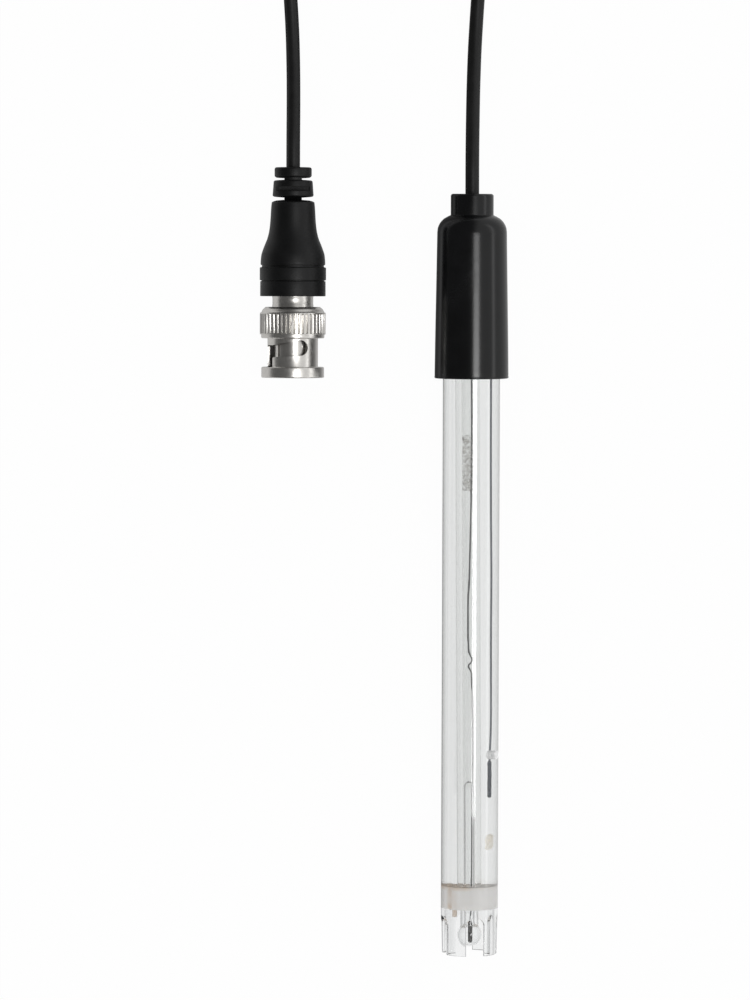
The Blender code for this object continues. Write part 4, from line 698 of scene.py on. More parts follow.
class ELECTRODE_OT_tube(bpy.types.Operator):
    """Build the clear body tube with its slotted guard, and the plug in its fill hole"""

    bl_idname = "electrode.tube"
    bl_label = "Body tube"

    def execute(self, context):
        sizes = context.scene.electrode_probe
        inner = TUBE_RADIUS - sizes.tube_wall
        edge = 0.3 * MM
        outline = [(TUBE_RADIUS, TUBE_TOP), (TUBE_RADIUS, TIP_TAPER_LENGTH)]
        outline += arc((TUBE_RADIUS - TIP_TAPER - edge, edge), edge, 0.0, -90.0, 4)
        outline += [(inner + 0.1 * MM, 0.0), (inner, 0.1 * MM), (inner, TUBE_TOP)]
        slots = bmesh.new()
        for i in range(sizes.guard_slots):
            join(slots, self.arch(inner, about_axis(GUARD_TURN + TAU * i / sizes.guard_slots)))
        tube = carve(spun(outline, 144), slots, port_drill(PORT_RADIUS - OVERLAP / 2))
        piece("tube_body", tube, PROBE, "clear_plastic", "body_tube")
        length = PLUG_REACH + sizes.tube_wall + 0.2 * MM
        plug = [(0.0, length), (0.5 * MM, length - 0.02 * MM)]
        plug += arc((0.8 * MM, length - 0.17 * MM), 0.13 * MM, 75.0, 0.0, 3)
        plug += arc((0.83 * MM, 0.1 * MM), 0.1 * MM, 0.0, -90.0, 3) + [(0.0, 0.0)]
        start = inner - PLUG_REACH
        foot = (start * math.sin(PORT_TURN), PORT_PLACE, start * math.cos(PORT_TURN))
        place = PROBE @ Matrix.Translation(foot) @ about_axis(PORT_TURN) @ QUARTER_X
        shape, slot = spun(plug, 48), "clear_plastic"
        piece("fill_plug", shape, place, slot, "fill_port_plug", material="plug_plastic")
        return {"FINISHED"}

    def arch(self, inner, turn):
        """One arched slot, a little wider at the outside."""
        shape = bmesh.new()
        half = 1.9 * MM
        outline = [(-half, -1.0 * MM), (half, -1.0 * MM)]
        outline += arc((0.0, 6.2 * MM), half, 0.0, 180.0, 20)
        face = shape.faces.new([shape.verts.new((x, y, inner - 0.8 * MM)) for x, y in outline])
        raised = new_verts(bmesh.ops.extrude_face_region(shape, geom=[face]))
        bmesh.ops.translate(shape, verts=raised, vec=(0.0, 0.0, 2.6 * MM))
        for vert in raised:
            vert.co.x *= 1.08
            vert.co.y += 0.15 * MM if vert.co.y > 0.0 else 0.0
        bmesh.ops.recalc_face_normals(shape, faces=shape.faces)
        bmesh.ops.transform(shape, matrix=turn, verts=shape.verts)
        return shape


class ELECTRODE_OT_cap(bpy.types.Operator):
    """Build the glossy cap with its round shoulder and its neck"""

    bl_idname = "electrode.cap"
    bl_label = "Cap"

    def execute(self, context):
        ledge = CAP_TOP + 0.25 * MM
        outline = [(NECK_RADIUS - 0.6 * MM, NECK_TOP)]
        outline += arc((NECK_RADIUS - 0.5 * MM, NECK_TOP - 0.5 * MM), 0.5 * MM, 80.0, 0.0, 5)
        outline += [(NECK_RADIUS, ledge)]
        outline += arc((NECK_RADIUS + 0.2 * MM, ledge), 0.2 * MM, 195.0, 260.0, 3)
        sides = in_mm(
            (5.10, 155.55), (5.85, 155.12), (6.35, 154.68), (6.70, 154.22), (6.97, 153.75),
            (7.20, 153.15), (7.30, 152.35), (7.32, 151.40), (7.40, 146.40), (7.465, 142.20),
            (7.535, 138.00), (7.67, 129.60), (7.75, 123.00), (7.76, 122.35),
        )
        outline += [tuple(point) for point in smooth_through(sides, 0.6 * MM)]
        lip = CAP_LIP - 0.004 * MM
        outline += arc((lip - 0.12 * MM, CAP_RIM + 0.35 * MM), 0.12 * MM, 60.0, 0.0, 3)
        outline += arc((lip - 0.25 * MM, CAP_RIM + 0.25 * MM), 0.25 * MM, 0.0, -90.0, 4)
        grip = TUBE_RADIUS + 0.05 * MM
        chamber = 4.13 * MM
        cord_hole = CORD_DIAMETER / 2 + 0.05 * MM
        outline += [(grip + 0.15 * MM, CAP_RIM), (grip, CAP_RIM + 0.15 * MM)]
        outline += [(grip, CHAMBER_BOTTOM), (chamber, CHAMBER_BOTTOM), (chamber, CHAMBER_TOP)]
        outline += [(cord_hole, CHAMBER_TOP), (cord_hole, NECK_TOP - 0.25 * MM)]
        outline += [(cord_hole + 0.25 * MM, NECK_TOP)]
        piece("cap", spun(outline, 128), PROBE, "black_gloss", "cable_cap")
        return {"FINISHED"}


class ELECTRODE_OT_stem(bpy.types.Operator):
    """Build the glass stem with its blown bulb, and the filling in its bore"""

    bl_idname = "electrode.stem"
    bl_label = "Glass stem"

    def execute(self, context):
        sizes = context.scene.electrode_probe
        stem, bore = sizes.stem_diameter / 2, sizes.stem_bore / 2
        bulb = sizes.bulb_diameter / 2
        centre = 1.5 * MM + bulb
        bottom = (0.0, centre - bulb)
        outside = self.blown(stem, bulb, 0.8 * MM, centre)
        inside = self.blown(bore, bulb - 0.35 * MM, 1.2 * MM, centre)
        outline = [(stem, STEM_TOP), *outside[:-1], bottom]
        outline += [(0.0, inside[-1][1]), *reversed(inside[:-1]), (bore, STEM_TOP)]
        piece("glass_tube", spun(outline, 72), STEM, "stem_glass", "glass_stem", sharp=60.0)
        wide = bore + OVERLAP / 2
        top, low = 138.0 * MM, 36.7 * MM
        dome = 1.5 * bore
        fill = [(0.0, top), (wide, top), (wide, low - dome)]
        for i in range(12):
            turn = math.pi / 2 * i / 12
            across = (bore - 0.02 * MM) * math.cos(turn)
            fill.append((across, low - dome + dome * math.sin(turn)))
        fill.append((0.0, low))
        piece("bore_filling", spun(fill, 48), STEM, "clear_gel", sharp=60.0)
        return {"FINISHED"}

    def blown(self, radius, bulb, fillet, centre):
        """One side of the glass, from a tube through a fillet to the bulb's lowest point."""
        rise = math.sqrt((bulb + fillet) ** 2 - (radius + fillet) ** 2)
        meets = math.degrees(math.atan2(rise, radius + fillet))
        points = arc((radius + fillet, centre + rise), fillet, 180.0, 180.0 + meets, 6)
        return points + arc((0.0, centre), bulb, meets, -90.0, 20)[1:]


class ELECTRODE_OT_gel(bpy.types.Operator):
    """Build the gel that fills the tube round the stem, with a salt crystal grown in it"""

    bl_idname = "electrode.gel"
    bl_label = "Gel"

    def execute(self, context):
        sizes = context.scene.electrode_probe
        wide = TUBE_RADIUS - sizes.tube_wall + OVERLAP
        low = SEAL_HIGH - OVERLAP
        outline = [(0.0, GEL_TOP), (wide, GEL_TOP), (wide, low), (0.0, low)]
        hole = stem_drill(sizes.stem_diameter / 2 - OVERLAP / 2, 75.0 * MM, 200.0 * MM)
        body = carve(spun(outline, 144), hole, port_drill(PORT_RADIUS - OVERLAP))
        piece("gel", body, PROBE, "clear_gel", "reference_gel", sharp=60.0)
        self.crystal()
        return {"FINISHED"}

    def crystal(self):
        """A blunt grain of salt, softened from a block and roughened twice."""
        shape = bmesh.new()
        bmesh.ops.create_cube(shape, size=2.0)
        bmesh.ops.subdivide_edges(shape, edges=shape.edges[:], cuts=9, use_grid_fill=True)
        for vert in shape.verts:
            vert.co = vert.co.lerp(vert.co.normalized() * 1.25, 0.4)
        size = Matrix.Diagonal((0.66 * MM, 1.45 * MM, 0.32 * MM, 1.0))
        middle = Matrix.Translation((3.45 * MM, 23.9 * MM, 1.6 * MM))
        place = middle @ Matrix.Rotation(-0.1, 4, "Z") @ size
        bmesh.ops.transform(shape, matrix=place, verts=shape.verts)
        roughen(shape, 0.9 * MM, 0.3 * MM, 1)
        roughen(shape, 0.2 * MM, 0.03 * MM, 2)
        piece("salt_crystal", shape, PROBE, "milky_seal", material="salt_crystal", sharp=25.0)


class ELECTRODE_OT_seal(bpy.types.Operator):
    """Build the milky seal under the gel, and the porous wick through it"""

    bl_idname = "electrode.seal"
    bl_label = "Seal and wick"

    def execute(self, context):
        sizes = context.scene.electrode_probe
        wide = TUBE_RADIUS - sizes.tube_wall + OVERLAP
        outline = [(0.0, SEAL_HIGH), (wide, SEAL_HIGH), (wide, SEAL_LOW - 0.1 * MM)]
        outline += [(wide - 0.3 * MM, SEAL_LOW), (0.0, SEAL_LOW)]
        hole = stem_drill(sizes.stem_diameter / 2 - OVERLAP, SEAL_MIDDLE, 20.0 * MM)
        piece("seal", carve(spun(outline), hole), PROBE, "milky_seal", "lower_seal")
        radius, edge = 0.48 * MM, 0.15 * MM
        low, high = SEAL_LOW - 2.0 * MM, SEAL_HIGH + 0.5 * MM
        outline = [(0.0, high)] + arc((radius - edge, high - edge), edge, 90.0, 0.0, 3)
        outline += [(radius, low + (high - low) * i / 12) for i in range(11, 0, -1)]
        outline += arc((radius - edge, low + edge), edge, 0.0, -90.0, 3) + [(0.0, low)]
        wick = spun(outline, 32)
        roughen(wick, 0.3 * MM, 0.04 * MM, 4)
        place = PROBE @ Matrix.Translation((-RING_RADIUS, 0.0, 0.0))
        piece("wick", wick, place, "wick_beige", "junction_wick")
        return {"FINISHED"}


class ELECTRODE_OT_wires(bpy.types.Operator):
    """Build the inner and reference wires with their coated ends, and the paste in the bore"""

    bl_idname = "electrode.wires"
    bl_label = "Wires"

    def execute(self, context):
        self.inner(context.scene.electrode_probe.wire_diameter)
        aside = STEM @ Matrix.Translation((0.15 * MM, 0.0, 0.0))
        self.coated("inner_electrode", 2.2, 7.15, 0.475, aside, "inner_element", 3, "silver_chloride")
        side = PROBE @ Matrix.Translation((RING_RADIUS, 0.0, 0.0))
        bends = in_mm((0.0, 41.0), (0.22, 50.0), (0.16, 66.0), (0.18, 80.0), (0.07, 95.0))
        bends += in_mm((0.0, 115.0), (0.0, 147.1))
        points = [(x, along, 0.03 * MM * math.sin(along / MM)) for x, along in bends]
        route = [side @ point for point in smooth_through(points, 2.0 * MM)]
        line("reference_thread", route, 0.36 * MM, "silver_wire", "reference_wire", resolution=3)
        name, node, material = "reference_electrode", "reference_element", "grey_chloride"
        self.coated(name, 33.2, 41.2, 0.34, side, node, 5, material)
        self.paste()
        return {"FINISHED"}

    def inner(self, diameter):
        """The thin wire, which wanders in the bore and has a kink half way up."""
        wander = (
            (6.90, 0.15, 0.00), (8.60, 0.25, 0.02), (10.7, 0.33, 0.05), (22.2, 0.50, 0.10),
            (34.9, 0.58, 0.12), (39.1, 0.58, 0.10), (45.4, 0.63, 0.05), (53.8, 0.60, 0.00),
            (58.6, 0.48, -0.05), (59.9, 0.40, -0.08), (61.1, -0.05, 0.05), (62.3, 0.60, 0.12),
            (64.0, 0.09, 0.02), (66.4, -0.02, -0.05), (74.9, -0.02, -0.10), (79.7, 0.18, -0.10),
            (95.9, 0.50, 0.00), (110.7, 0.66, 0.05), (121.2, 0.66, 0.00), (135.0, 0.20, 0.00),
            (146.3, 0.00, 0.00),
        )
        points = [(x * MM, along * MM, z * MM) for along, x, z in wander]
        route = [STEM @ point for point in smooth_through(points, 0.4 * MM)]
        lean = math.tan(STEM_LEAN)
        for along in (148.7 * MM, 150.3 * MM):
            route.append(STEM @ Vector((lean * (along - SEAL_MIDDLE), along, 0.0)))
        slot, node = "silver_wire", "inner_wire"
        line("silver_thread", route, diameter, slot, node, resolution=3, material="dark_wire")

    def coated(self, name, low, high, radius, place, node, seed, material):
        """A coated length of wire: round at its lower end, tapered to the wire above."""
        low, high, radius = low * MM, high * MM, radius * MM
        taper = 0.6 * MM
        outline = [(0.0, high), (radius * 0.45, high - 0.05 * MM), (radius, high - taper)]
        steps = 16
        span = high - low - taper - radius
        outline += [(radius, high - taper - span * i / steps) for i in range(1, steps + 1)]
        outline += arc((0.0, low + radius), radius, -15.0, -90.0, 5)[:-1] + [(0.0, low)]
        shape = spun(outline, 32)
        roughen(shape, 0.5 * MM, 0.05 * MM, seed)
        piece(name, shape, place, "silver_chloride", node, material=material)

    def paste(self):
        """Dried paste in the bore, roughened and kept inside the glass."""
        most = 0.84 * MM
        sides = [(0.8, 109.4 - 11.3 * i / 40) for i in range(41)]
        shape = spun(in_mm((0.0, 109.7), *sides, (0.0, 97.9)), 48)
        roughen(shape, 0.5 * MM, 0.10 * MM, 6)
        for vert in shape.verts:
            share = min(1.0, most / max(math.hypot(vert.co.x, vert.co.z), 1e-9))
            vert.co.x *= share
            vert.co.z *= share
        piece("dried_paste", shape, STEM, "milky_seal", material="dry_paste", sharp=50.0)


# Connector


class ELECTRODE_OT_nut(bpy.types.Operator):
    """Build the fluted bayonet nut with its two ramp slots"""

    bl_idname = "electrode.nut"
    bl_label = "Coupling nut"

    def execute(self, context):
        sizes = context.scene.electrode_plug
        grip = sizes.grip_diameter / 2
        barrel = sizes.barrel_diameter / 2
        bore, chamber, groove, flange = 4.86 * MM, 5.6 * MM, 6.15 * MM, 6.6 * MM
        collar = grip - 0.27 * MM
        soft, root = 0.25 * MM, 0.12 * MM
        outline = [(chamber + 0.1 * MM, NUT_BACK), (collar - 0.42 * MM, NUT_BACK - 0.42 * MM)]
        outline += [(collar - 0.27 * MM, NUT_BACK - 0.62 * MM), (collar - 0.02 * MM, 13.75 * MM)]
        outline += [(grip - 0.05 * MM, 13.62 * MM), (grip, 13.5 * MM), (grip, 9.2 * MM)]
        outline += [(grip - 0.05 * MM, 9.08 * MM), (collar, 9.05 * MM)]
        outline += arc((collar - soft, 8.3 * MM + soft), soft, 0.0, -90.0, 5)
        outline += arc((barrel + root, 8.18 * MM), root, 90.0, 180.0, 3)
        outline += arc((barrel + root, 2.37 * MM), root, 180.0, 270.0, 3)
        outline += arc((flange - soft, 2.25 * MM - soft), soft, 90.0, 0.0, 5)
        outline += arc((flange - soft, soft), soft, 0.0, -90.0, 5)
        outline += [(bore + soft, 0.0), (bore, soft), (bore, 10.0 * MM), (chamber, 10.0 * MM)]
        outline += [(chamber, 13.38 * MM), (groove, 13.38 * MM), (groove, 14.18 * MM)]
        outline += [(chamber, 14.18 * MM), (chamber, NUT_BACK)]
        turns = 144
        nut = carve(
            spun(outline, turns),
            self.flutes(grip, sizes.flutes),
            self.bayonet(barrel, sizes.slot_width, TAU / turns),
            self.grooves(bore, sizes.slot_width),
        )
        stuff = {"body": "coupling", "material": "nut_nickel_painted_shade"}
        piece("bayonet_nut", nut, PLUG, "nickel_plate", "coupling_nut", **stuff)
        return {"FINISHED"}

    def flutes(self, grip, count):
        """Round-bottomed flutes with run-out ends, as one cutter."""
        shape = bmesh.new()
        half = 0.26 * MM
        over = grip + 0.3 * MM
        for i in range(count):
            own = bmesh.new()
            rings = []
            for along, share in ((9.25, 0.0), (9.45, 1.0), (13.25, 1.0), (13.45, 0.0)):
                floor = grip - 0.30 * MM * share
                side = grip * 0.35 + floor * 0.65
                ring = [(-half, over), (-half, grip), (-half * 0.62, side), (0.0, floor)]
                ring += [(half * 0.62, side), (half, grip), (half, over)]
                rings.append([own.verts.new((x, along * MM, z)) for x, z in ring])
            for before, after in zip(rings, rings[1:]):
                pairs = [*self.around(before), *self.around(after)]
                edges = [own.edges.get(pair) or own.edges.new(pair) for pair in pairs]
                bmesh.ops.bridge_loops(own, edges=edges)
            own.faces.new(rings[0])
            own.faces.new(rings[-1])
            bmesh.ops.recalc_face_normals(own, faces=own.faces)
            turn = about_axis(TAU * (i + 0.5) / count)
            bmesh.ops.transform(own, matrix=turn, verts=own.verts)
            join(shape, own)
        return shape

    def around(self, ring):
        return zip(ring, ring[1:] + ring[:1])

    def bayonet(self, barrel, width, bend_turn):
        """The slots, drawn on the unrolled barrel, split every bend and wrapped round it."""
        half = width / 2
        corner = 0.4 * MM
        mouth = 2.25 * MM
        ramp = 5.6 * MM
        entry = BAYONET_TURN * barrel
        seat = (entry + math.radians(86.0) * barrel, 6.3 * MM)
        near, far = entry - half, entry + half
        outline = [(near, mouth), (far, mouth), (far, ramp - half - corner)]
        outline += arc((far + corner, ramp - half - corner), corner, 180.0, 100.0, 5)[1:]
        outline += arc(seat, 1.62 * MM, -95.0, 92.0, 24)
        outline += [(far, ramp + half - 0.02 * MM)]
        outline += arc((near + corner, ramp + half - corner), corner, 90.0, 180.0, 5)
        bend = bend_turn * barrel
        first = math.ceil(min(x for x, _ in outline) / bend)
        last = math.floor(max(x for x, _ in outline) / bend)
        shape = bmesh.new()
        for i in range(2):
            flat = bmesh.new()
            flat.faces.new([flat.verts.new((x, y, 0.0)) for x, y in outline])
            for step in range(first, last + 1):
                geometry = flat.verts[:] + flat.edges[:] + flat.faces[:]
                place = (step * bend, 0, 0)
                bmesh.ops.bisect_plane(flat, geom=geometry, plane_co=place, plane_no=(1, 0, 0))
            raised = set(new_verts(bmesh.ops.extrude_face_region(flat, geom=flat.faces[:])))
            for vert in flat.verts:
                turn = vert.co.x / barrel + math.pi * i
                radius = barrel + (0.6 * MM if vert in raised else -1.2 * MM)
                vert.co = (radius * math.sin(turn), vert.co.y, radius * math.cos(turn))
            bmesh.ops.recalc_face_normals(flat, faces=flat.faces)
            join(shape, flat)
        return shape

    def grooves(self, bore, width):
        """Grooves in the front flange's bore, which let the jack's studs reach the slots."""
        shape = bmesh.new()
        low = (-width / 2, -0.2 * MM, bore - 0.7 * MM)
        high = (width / 2, 2.5 * MM, bore + 0.7 * MM)
        for i in range(2):
            join(shape, block(low, high, about_axis(BAYONET_TURN + math.pi * i)))
        return shape


class ELECTRODE_OT_shell(bpy.types.Operator):
    """Build the connector's turned body and its slotted spring sleeve"""

    bl_idname = "electrode.shell"
    bl_label = "Connector body"

    def execute(self, context):
        outline = in_mm(
            (2.35, 27.04), (2.35, 20.84), (4.325, 20.84), (4.325, 17.6), (4.325, 16.9), (4.275, 16.8),
            (4.275, 15.4), (4.325, 15.3), (4.325, 11.04), (5.4, 11.04), (5.4, 10.14), (4.66, 10.14),
            (4.66, 9.14), (4.25, 9.14), (4.25, 11.34), (2.2, 11.34), (2.2, 16.34), (0.95, 16.34),
            (0.95, 27.04),
        )
        piece("plug_body", spun(outline), PLUG, "nickel_plate", "connector_body")
        radius, inner, edge = 4.05 * MM, 3.5 * MM, 0.15 * MM
        outline = [(radius, 11.14 * MM), (radius, 4.6 * MM), (radius + 0.06 * MM, 3.6 * MM)]
        outline += [(radius + 0.1 * MM, 2.7 * MM), (radius + 0.04 * MM, 2.0 * MM)]
        outline += arc((radius - edge, 1.45 * MM), edge, 0.0, -90.0, 4)
        outline += [(inner + edge, 1.3 * MM), (inner, 1.5 * MM), (inner, 11.14 * MM)]
        slots = bmesh.new()
        low = (-0.22 * MM, 0.7 * MM, inner - 0.6 * MM)
        high = (0.22 * MM, 6.9 * MM, radius + 0.6 * MM)
        for i in range(4):
            join(slots, block(low, high, about_axis(TAU * (i + 0.5) / 4)))
        sleeve = carve(spun(outline), slots)
        piece("spring_sleeve", sleeve, PLUG, "nickel_plate", "outer_contact")
        return {"FINISHED"}


class ELECTRODE_OT_spring(bpy.types.Operator):
    """Build the wave washer in its waved shape; the real one flattens as the nut is pulled forward"""

    bl_idname = "electrode.spring"
    bl_label = "Wave washer"

    def execute(self, context):
        inner, outer, half = 4.345 * MM, 5.125 * MM, 0.09 * MM
        middle, wave, soft = 11.56 * MM, 0.4 * MM, 0.03 * MM
        outline = [(inner, half), (inner, -half), (outer - soft, -half), (outer, soft - half)]
        outline += [(outer, half - soft), (outer - soft, half)]
        shape = spun(outline, 120)
        for vert in shape.verts:
            vert.co.y += middle + wave * math.sin(3 * math.atan2(vert.co.z, vert.co.x))
        spring = piece("wave_spring", shape, PLUG, "spring_steel", "wave_washer")
        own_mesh(spring)
        return {"FINISHED"}


class ELECTRODE_OT_contacts(bpy.types.Operator):
    """Build what the plug's mouth shows: insulator, centre pin and gasket"""

    bl_idname = "electrode.contacts"
    bl_label = "Contacts"

    def execute(self, context):
        outline = in_mm(
            (1.95, 16.14), (1.95, 11.14), (3.3, 11.14), (3.3, 8.34), (3.1, 8.14),
            (1.05, 8.14), (0.875, 8.35), (0.875, 11.24), (1.15, 11.24), (1.15, 16.14),
        )
        piece("plug_insulator", spun(outline, 64), PLUG, "white_ptfe", "insulator")
        outline = in_mm(
            (0.0, 13.44), (0.43, 13.44), (0.43, 15.94), (0.95, 15.94), (0.95, 11.44),
            (0.675, 11.44), (0.675, 3.4), (0.62, 3.0),
        )
        outline += arc((0.2 * MM, 2.15 * MM), 0.25 * MM, 20.0, -60.0, 4) + [(0.0, 1.9 * MM)]
        piece("plug_pin", spun(outline, 48), PLUG, "gilt_pin", "centre_pin")
        outline = in_mm(
            (4.66, 8.24), (4.56, 8.14), (4.36, 8.14), (4.26, 8.24),
            (4.26, 8.84), (4.36, 8.94), (4.56, 8.94), (4.66, 8.84),
        )
        piece("plug_gasket", spun(outline, 64), PLUG, "gasket_rubber", "gasket")
        return {"FINISHED"}


class ELECTRODE_OT_boot(bpy.types.Operator):
    """Build the moulded boot with its slotted strain relief"""

    bl_idname = "electrode.boot"
    bl_label = "Boot"

    def execute(self, context):
        bell = in_mm(
            (4.50, 36.62), (4.57, 36.10), (4.63, 35.30), (4.69, 34.30), (4.75, 33.20), (4.83, 32.20),
            (4.96, 31.10), (5.15, 30.10), (5.46, 29.00), (5.88, 28.00), (6.30, 26.90), (6.62, 25.90),
            (6.76, 24.80), (6.80, 23.85),
        )
        outline = [(0.0, BOOT_BACK)]
        outline += self.rounded(3.9, 3.9, BOOT_BACK / MM, 42.05, 0.4)
        outline += in_mm((3.6, 42.0), (3.6, 41.5))
        outline += self.rounded(4.1, 4.3, 41.4, 38.0, 0.35)
        outline += in_mm((3.6, 37.85), (3.0, 37.35), (4.1, 37.02))
        outline += arc((4.25 * MM, 36.67 * MM), 0.25 * MM, 75.0, 10.0, 4)
        outline += [tuple(point) for point in smooth_through(bell, 0.5 * MM)]
        outline += in_mm((6.74, 23.66), (6.52, 23.6), (6.52, 23.25))
        outline += self.rounded(6.97, 6.97, 23.15, 20.45, 0.14)
        outline += in_mm((6.6, 20.42), (6.6, 20.3))
        outline += self.rounded(6.87, 6.885, 20.28, BOOT_FRONT / MM, 0.14)[:-1]
        outline += [(6.6 * MM, BOOT_FRONT), (4.4 * MM, BOOT_FRONT)]
        outline += in_mm((4.4, 21.0), (3.25, 21.0), (3.25, 27.5), (0.0, 27.5))
        web, reach = 1.8 * MM, 8.0 * MM
        slots = bmesh.new()
        for low, high in in_mm((36.98, 38.15), (41.25, 42.15)):
            for side in (-1.0, 1.0):
                join(slots, self.wedge(low, high, web * side, 4.3 * MM * side, reach))
        for near, far in ((web, reach), (-reach, -web)):
            join(slots, block((-3.5 * MM, 39.15 * MM, near), (3.5 * MM, 40.15 * MM, far)))
        boot = carve(spun(outline, 112), slots)
        piece("moulded_boot", boot, PLUG, "black_boot", "connector_boot", sharp=30.0)
        return {"FINISHED"}

    def wedge(self, low, high, near, far, reach):
        """A gap across one side of the relief, wide at the outside and narrow at the web."""
        shape = block((min(near, 2 * far), low, -reach), (max(near, 2 * far), high, reach))
        middle = (low + high) / 2
        for vert in shape.verts:
            deep = 0.45 if abs(vert.co.x - near) < 0.01 * MM else 1.25
            vert.co.y = middle + (vert.co.y - middle) * deep
        return shape

    def rounded(self, high_radius, low_radius, high, low, edge):
        """A ring's outer side in millimetres with round edges, from its high to its low end."""
        edge *= MM
        points = arc((high_radius * MM - edge, high * MM - edge), edge, 90.0, 0.0, 4)
        return points + arc((low_radius * MM - edge, low * MM + edge), edge, 0.0, -90.0, 4)


class ELECTRODE_OT_hidden(bpy.types.Operator):
    """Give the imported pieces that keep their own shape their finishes"""

    bl_idname = "electrode.hidden"
    bl_label = "Inner pieces"

    def execute(self, context):
        finishes = {
            "tube_stopper": "stopper_rubber",
            "cap_potting": "potting_resin",
            "cable_tail": "cord_jacket",
            "splice_sleeve": "splice_sleeve",
            "crimp_ferrule": "nickel_plate",
            "connector_tail": "cord_jacket",
            "thrust_washer": "nickel_plate",
            "retaining_ring": "spring_steel",
        }
        for node, name in finishes.items():
            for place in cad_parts[node].material_slots:
                place.material = MATERIALS[name]
        return {"FINISHED"}


# Cord


def coil_slots():
    """The winding order: (radius, height) of each turn, row by row, in, out, in and out."""
    slots = []
    for row, count in enumerate(COIL_ROWS):
        columns = range(count) if row % 2 else reversed(range(count))
        for column in columns:
            radius = COIL_RADIUS + (column - (count - 1) / 2) * CORD_DIAMETER
            slots.append((radius, CORD_DIAMETER / 2 + row * COIL_RISE))
    return slots


def coil_points(step=8):
    """The wound turns: a quarter turn in, turns that change place under the tie, a quarter out."""
    slots = coil_slots()
    final = 90 + 360 * (len(slots) - 2) + 90
    points = []
    for degrees in range(0, final + 1, step):
        change = min(max(round((degrees - 90) / 360), 0), len(slots) - 2)
        (radius, height), (next_radius, next_height) = slots[change : change + 2]
        reach = math.degrees(COIL_SHIFT / 2 / ((radius + next_radius) / 2))
        past = (degrees - 90 - 360 * change) / reach
        share = min(max((past + 1) / 2, 0.0), 1.0)
        share = (1 - math.cos(math.pi * share)) / 2
        radius += (next_radius - radius) * share
        height += (next_height - height) * share
        turn = math.radians(degrees)
        across, along = radius * math.cos(turn), radius * math.sin(turn)
        points.append(Vector((COIL_X + across, COIL_Y + along, height)))
    return points


class ELECTRODE_OT_cord(bpy.types.Operator):
    """Lay the coax cord from the cap through its coil to the boot"""

    bl_idname = "electrode.cord"
    bl_label = "Cord"

    def execute(self, context):
        start = PROBE @ Vector((0.0, NECK_TOP - 0.25 * MM, 0.0))
        end = (PLUG_X, PLUG_FRONT + BOOT_BACK - 1.0 * MM, PLUG_AXIS)
        turns = coil_points()
        out = smooth_through([start, *ROUTE_FROM_CAP, turns[0]], 2.5 * MM)
        back = smooth_through([turns[-1], *reversed(ROUTE_TO_BOOT), end], 2.5 * MM)
        route = out[:-1] + turns + back[1:]
        nodes = ("cord_from_cap", "cord_coil", "cord_to_connector")
        cord = line("signal_cord", route, CORD_DIAMETER, "cord_jacket", *nodes)
        on_cord = [self.tie()]
        pieces = ("moulded_boot", "plug_body", "spring_sleeve", "plug_insulator", "plug_pin")
        for name in (*pieces, "plug_gasket", "bayonet_nut", "wave_spring"):
            on_cord.append(bpy.data.objects[name])
        for node in ("crimp_ferrule", "connector_tail", "thrust_washer", "retaining_ring"):
            on_cord.append(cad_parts[node])
        return {"FINISHED"}

    def tie(self):
        """The strap closed round the coil's section: a rounded loop with a wall and soft edges."""
        half_coil = max(COIL_ROWS) * CORD_DIAMETER / 2
        space = 0.25 * MM
        outer = COIL_RADIUS + half_coil + space
        inner = math.sqrt((COIL_RADIUS - half_coil) ** 2 - (TIE_WIDTH / 2) ** 2) - space
        low = 0.75 * MM
        high = CORD_DIAMETER + (len(COIL_ROWS) - 1) * COIL_RISE + space
        soft = 1.2 * MM
        loop = arc((outer - soft, low + soft), soft, -90.0, 0.0)
        loop += arc((outer - soft, high - soft), soft, 0.0, 90.0)
        loop += arc((inner + soft, high - soft), soft, 90.0, 180.0)
        loop += arc((inner + soft, low + soft), soft, 180.0, 270.0)
        shape = bmesh.new()
        ring = [shape.verts.new((-TIE_WIDTH / 2, y, z)) for y, z in loop]
        edges = [shape.edges.new(pair) for pair in zip(ring, ring[1:] + ring[:1])]
        moved = new_verts(bmesh.ops.extrude_edge_only(shape, edges=edges))
        bmesh.ops.translate(shape, verts=moved, vec=(TIE_WIDTH, 0.0, 0.0))
        bmesh.ops.recalc_face_normals(shape, faces=shape.faces)
        bmesh.ops.solidify(shape, geom=shape.faces[:], thickness=0.7 * MM)
        bmesh.ops.recalc_face_normals(shape, faces=shape.faces)
        rims = [edge for edge in shape.edges if edge.calc_face_angle(0.0) > 1.0]
        rounding = {"offset": 0.2 * MM, "segments": 2, "profile": 0.5}
        bmesh.ops.bevel(shape, geom=rims, affect="EDGES", material=-1, **rounding)
        place = Matrix.Translation((COIL_X, COIL_Y, 0.0))
        return piece("coil_strap", shape, place, "strap_fabric", "coil_tie")


# Stage


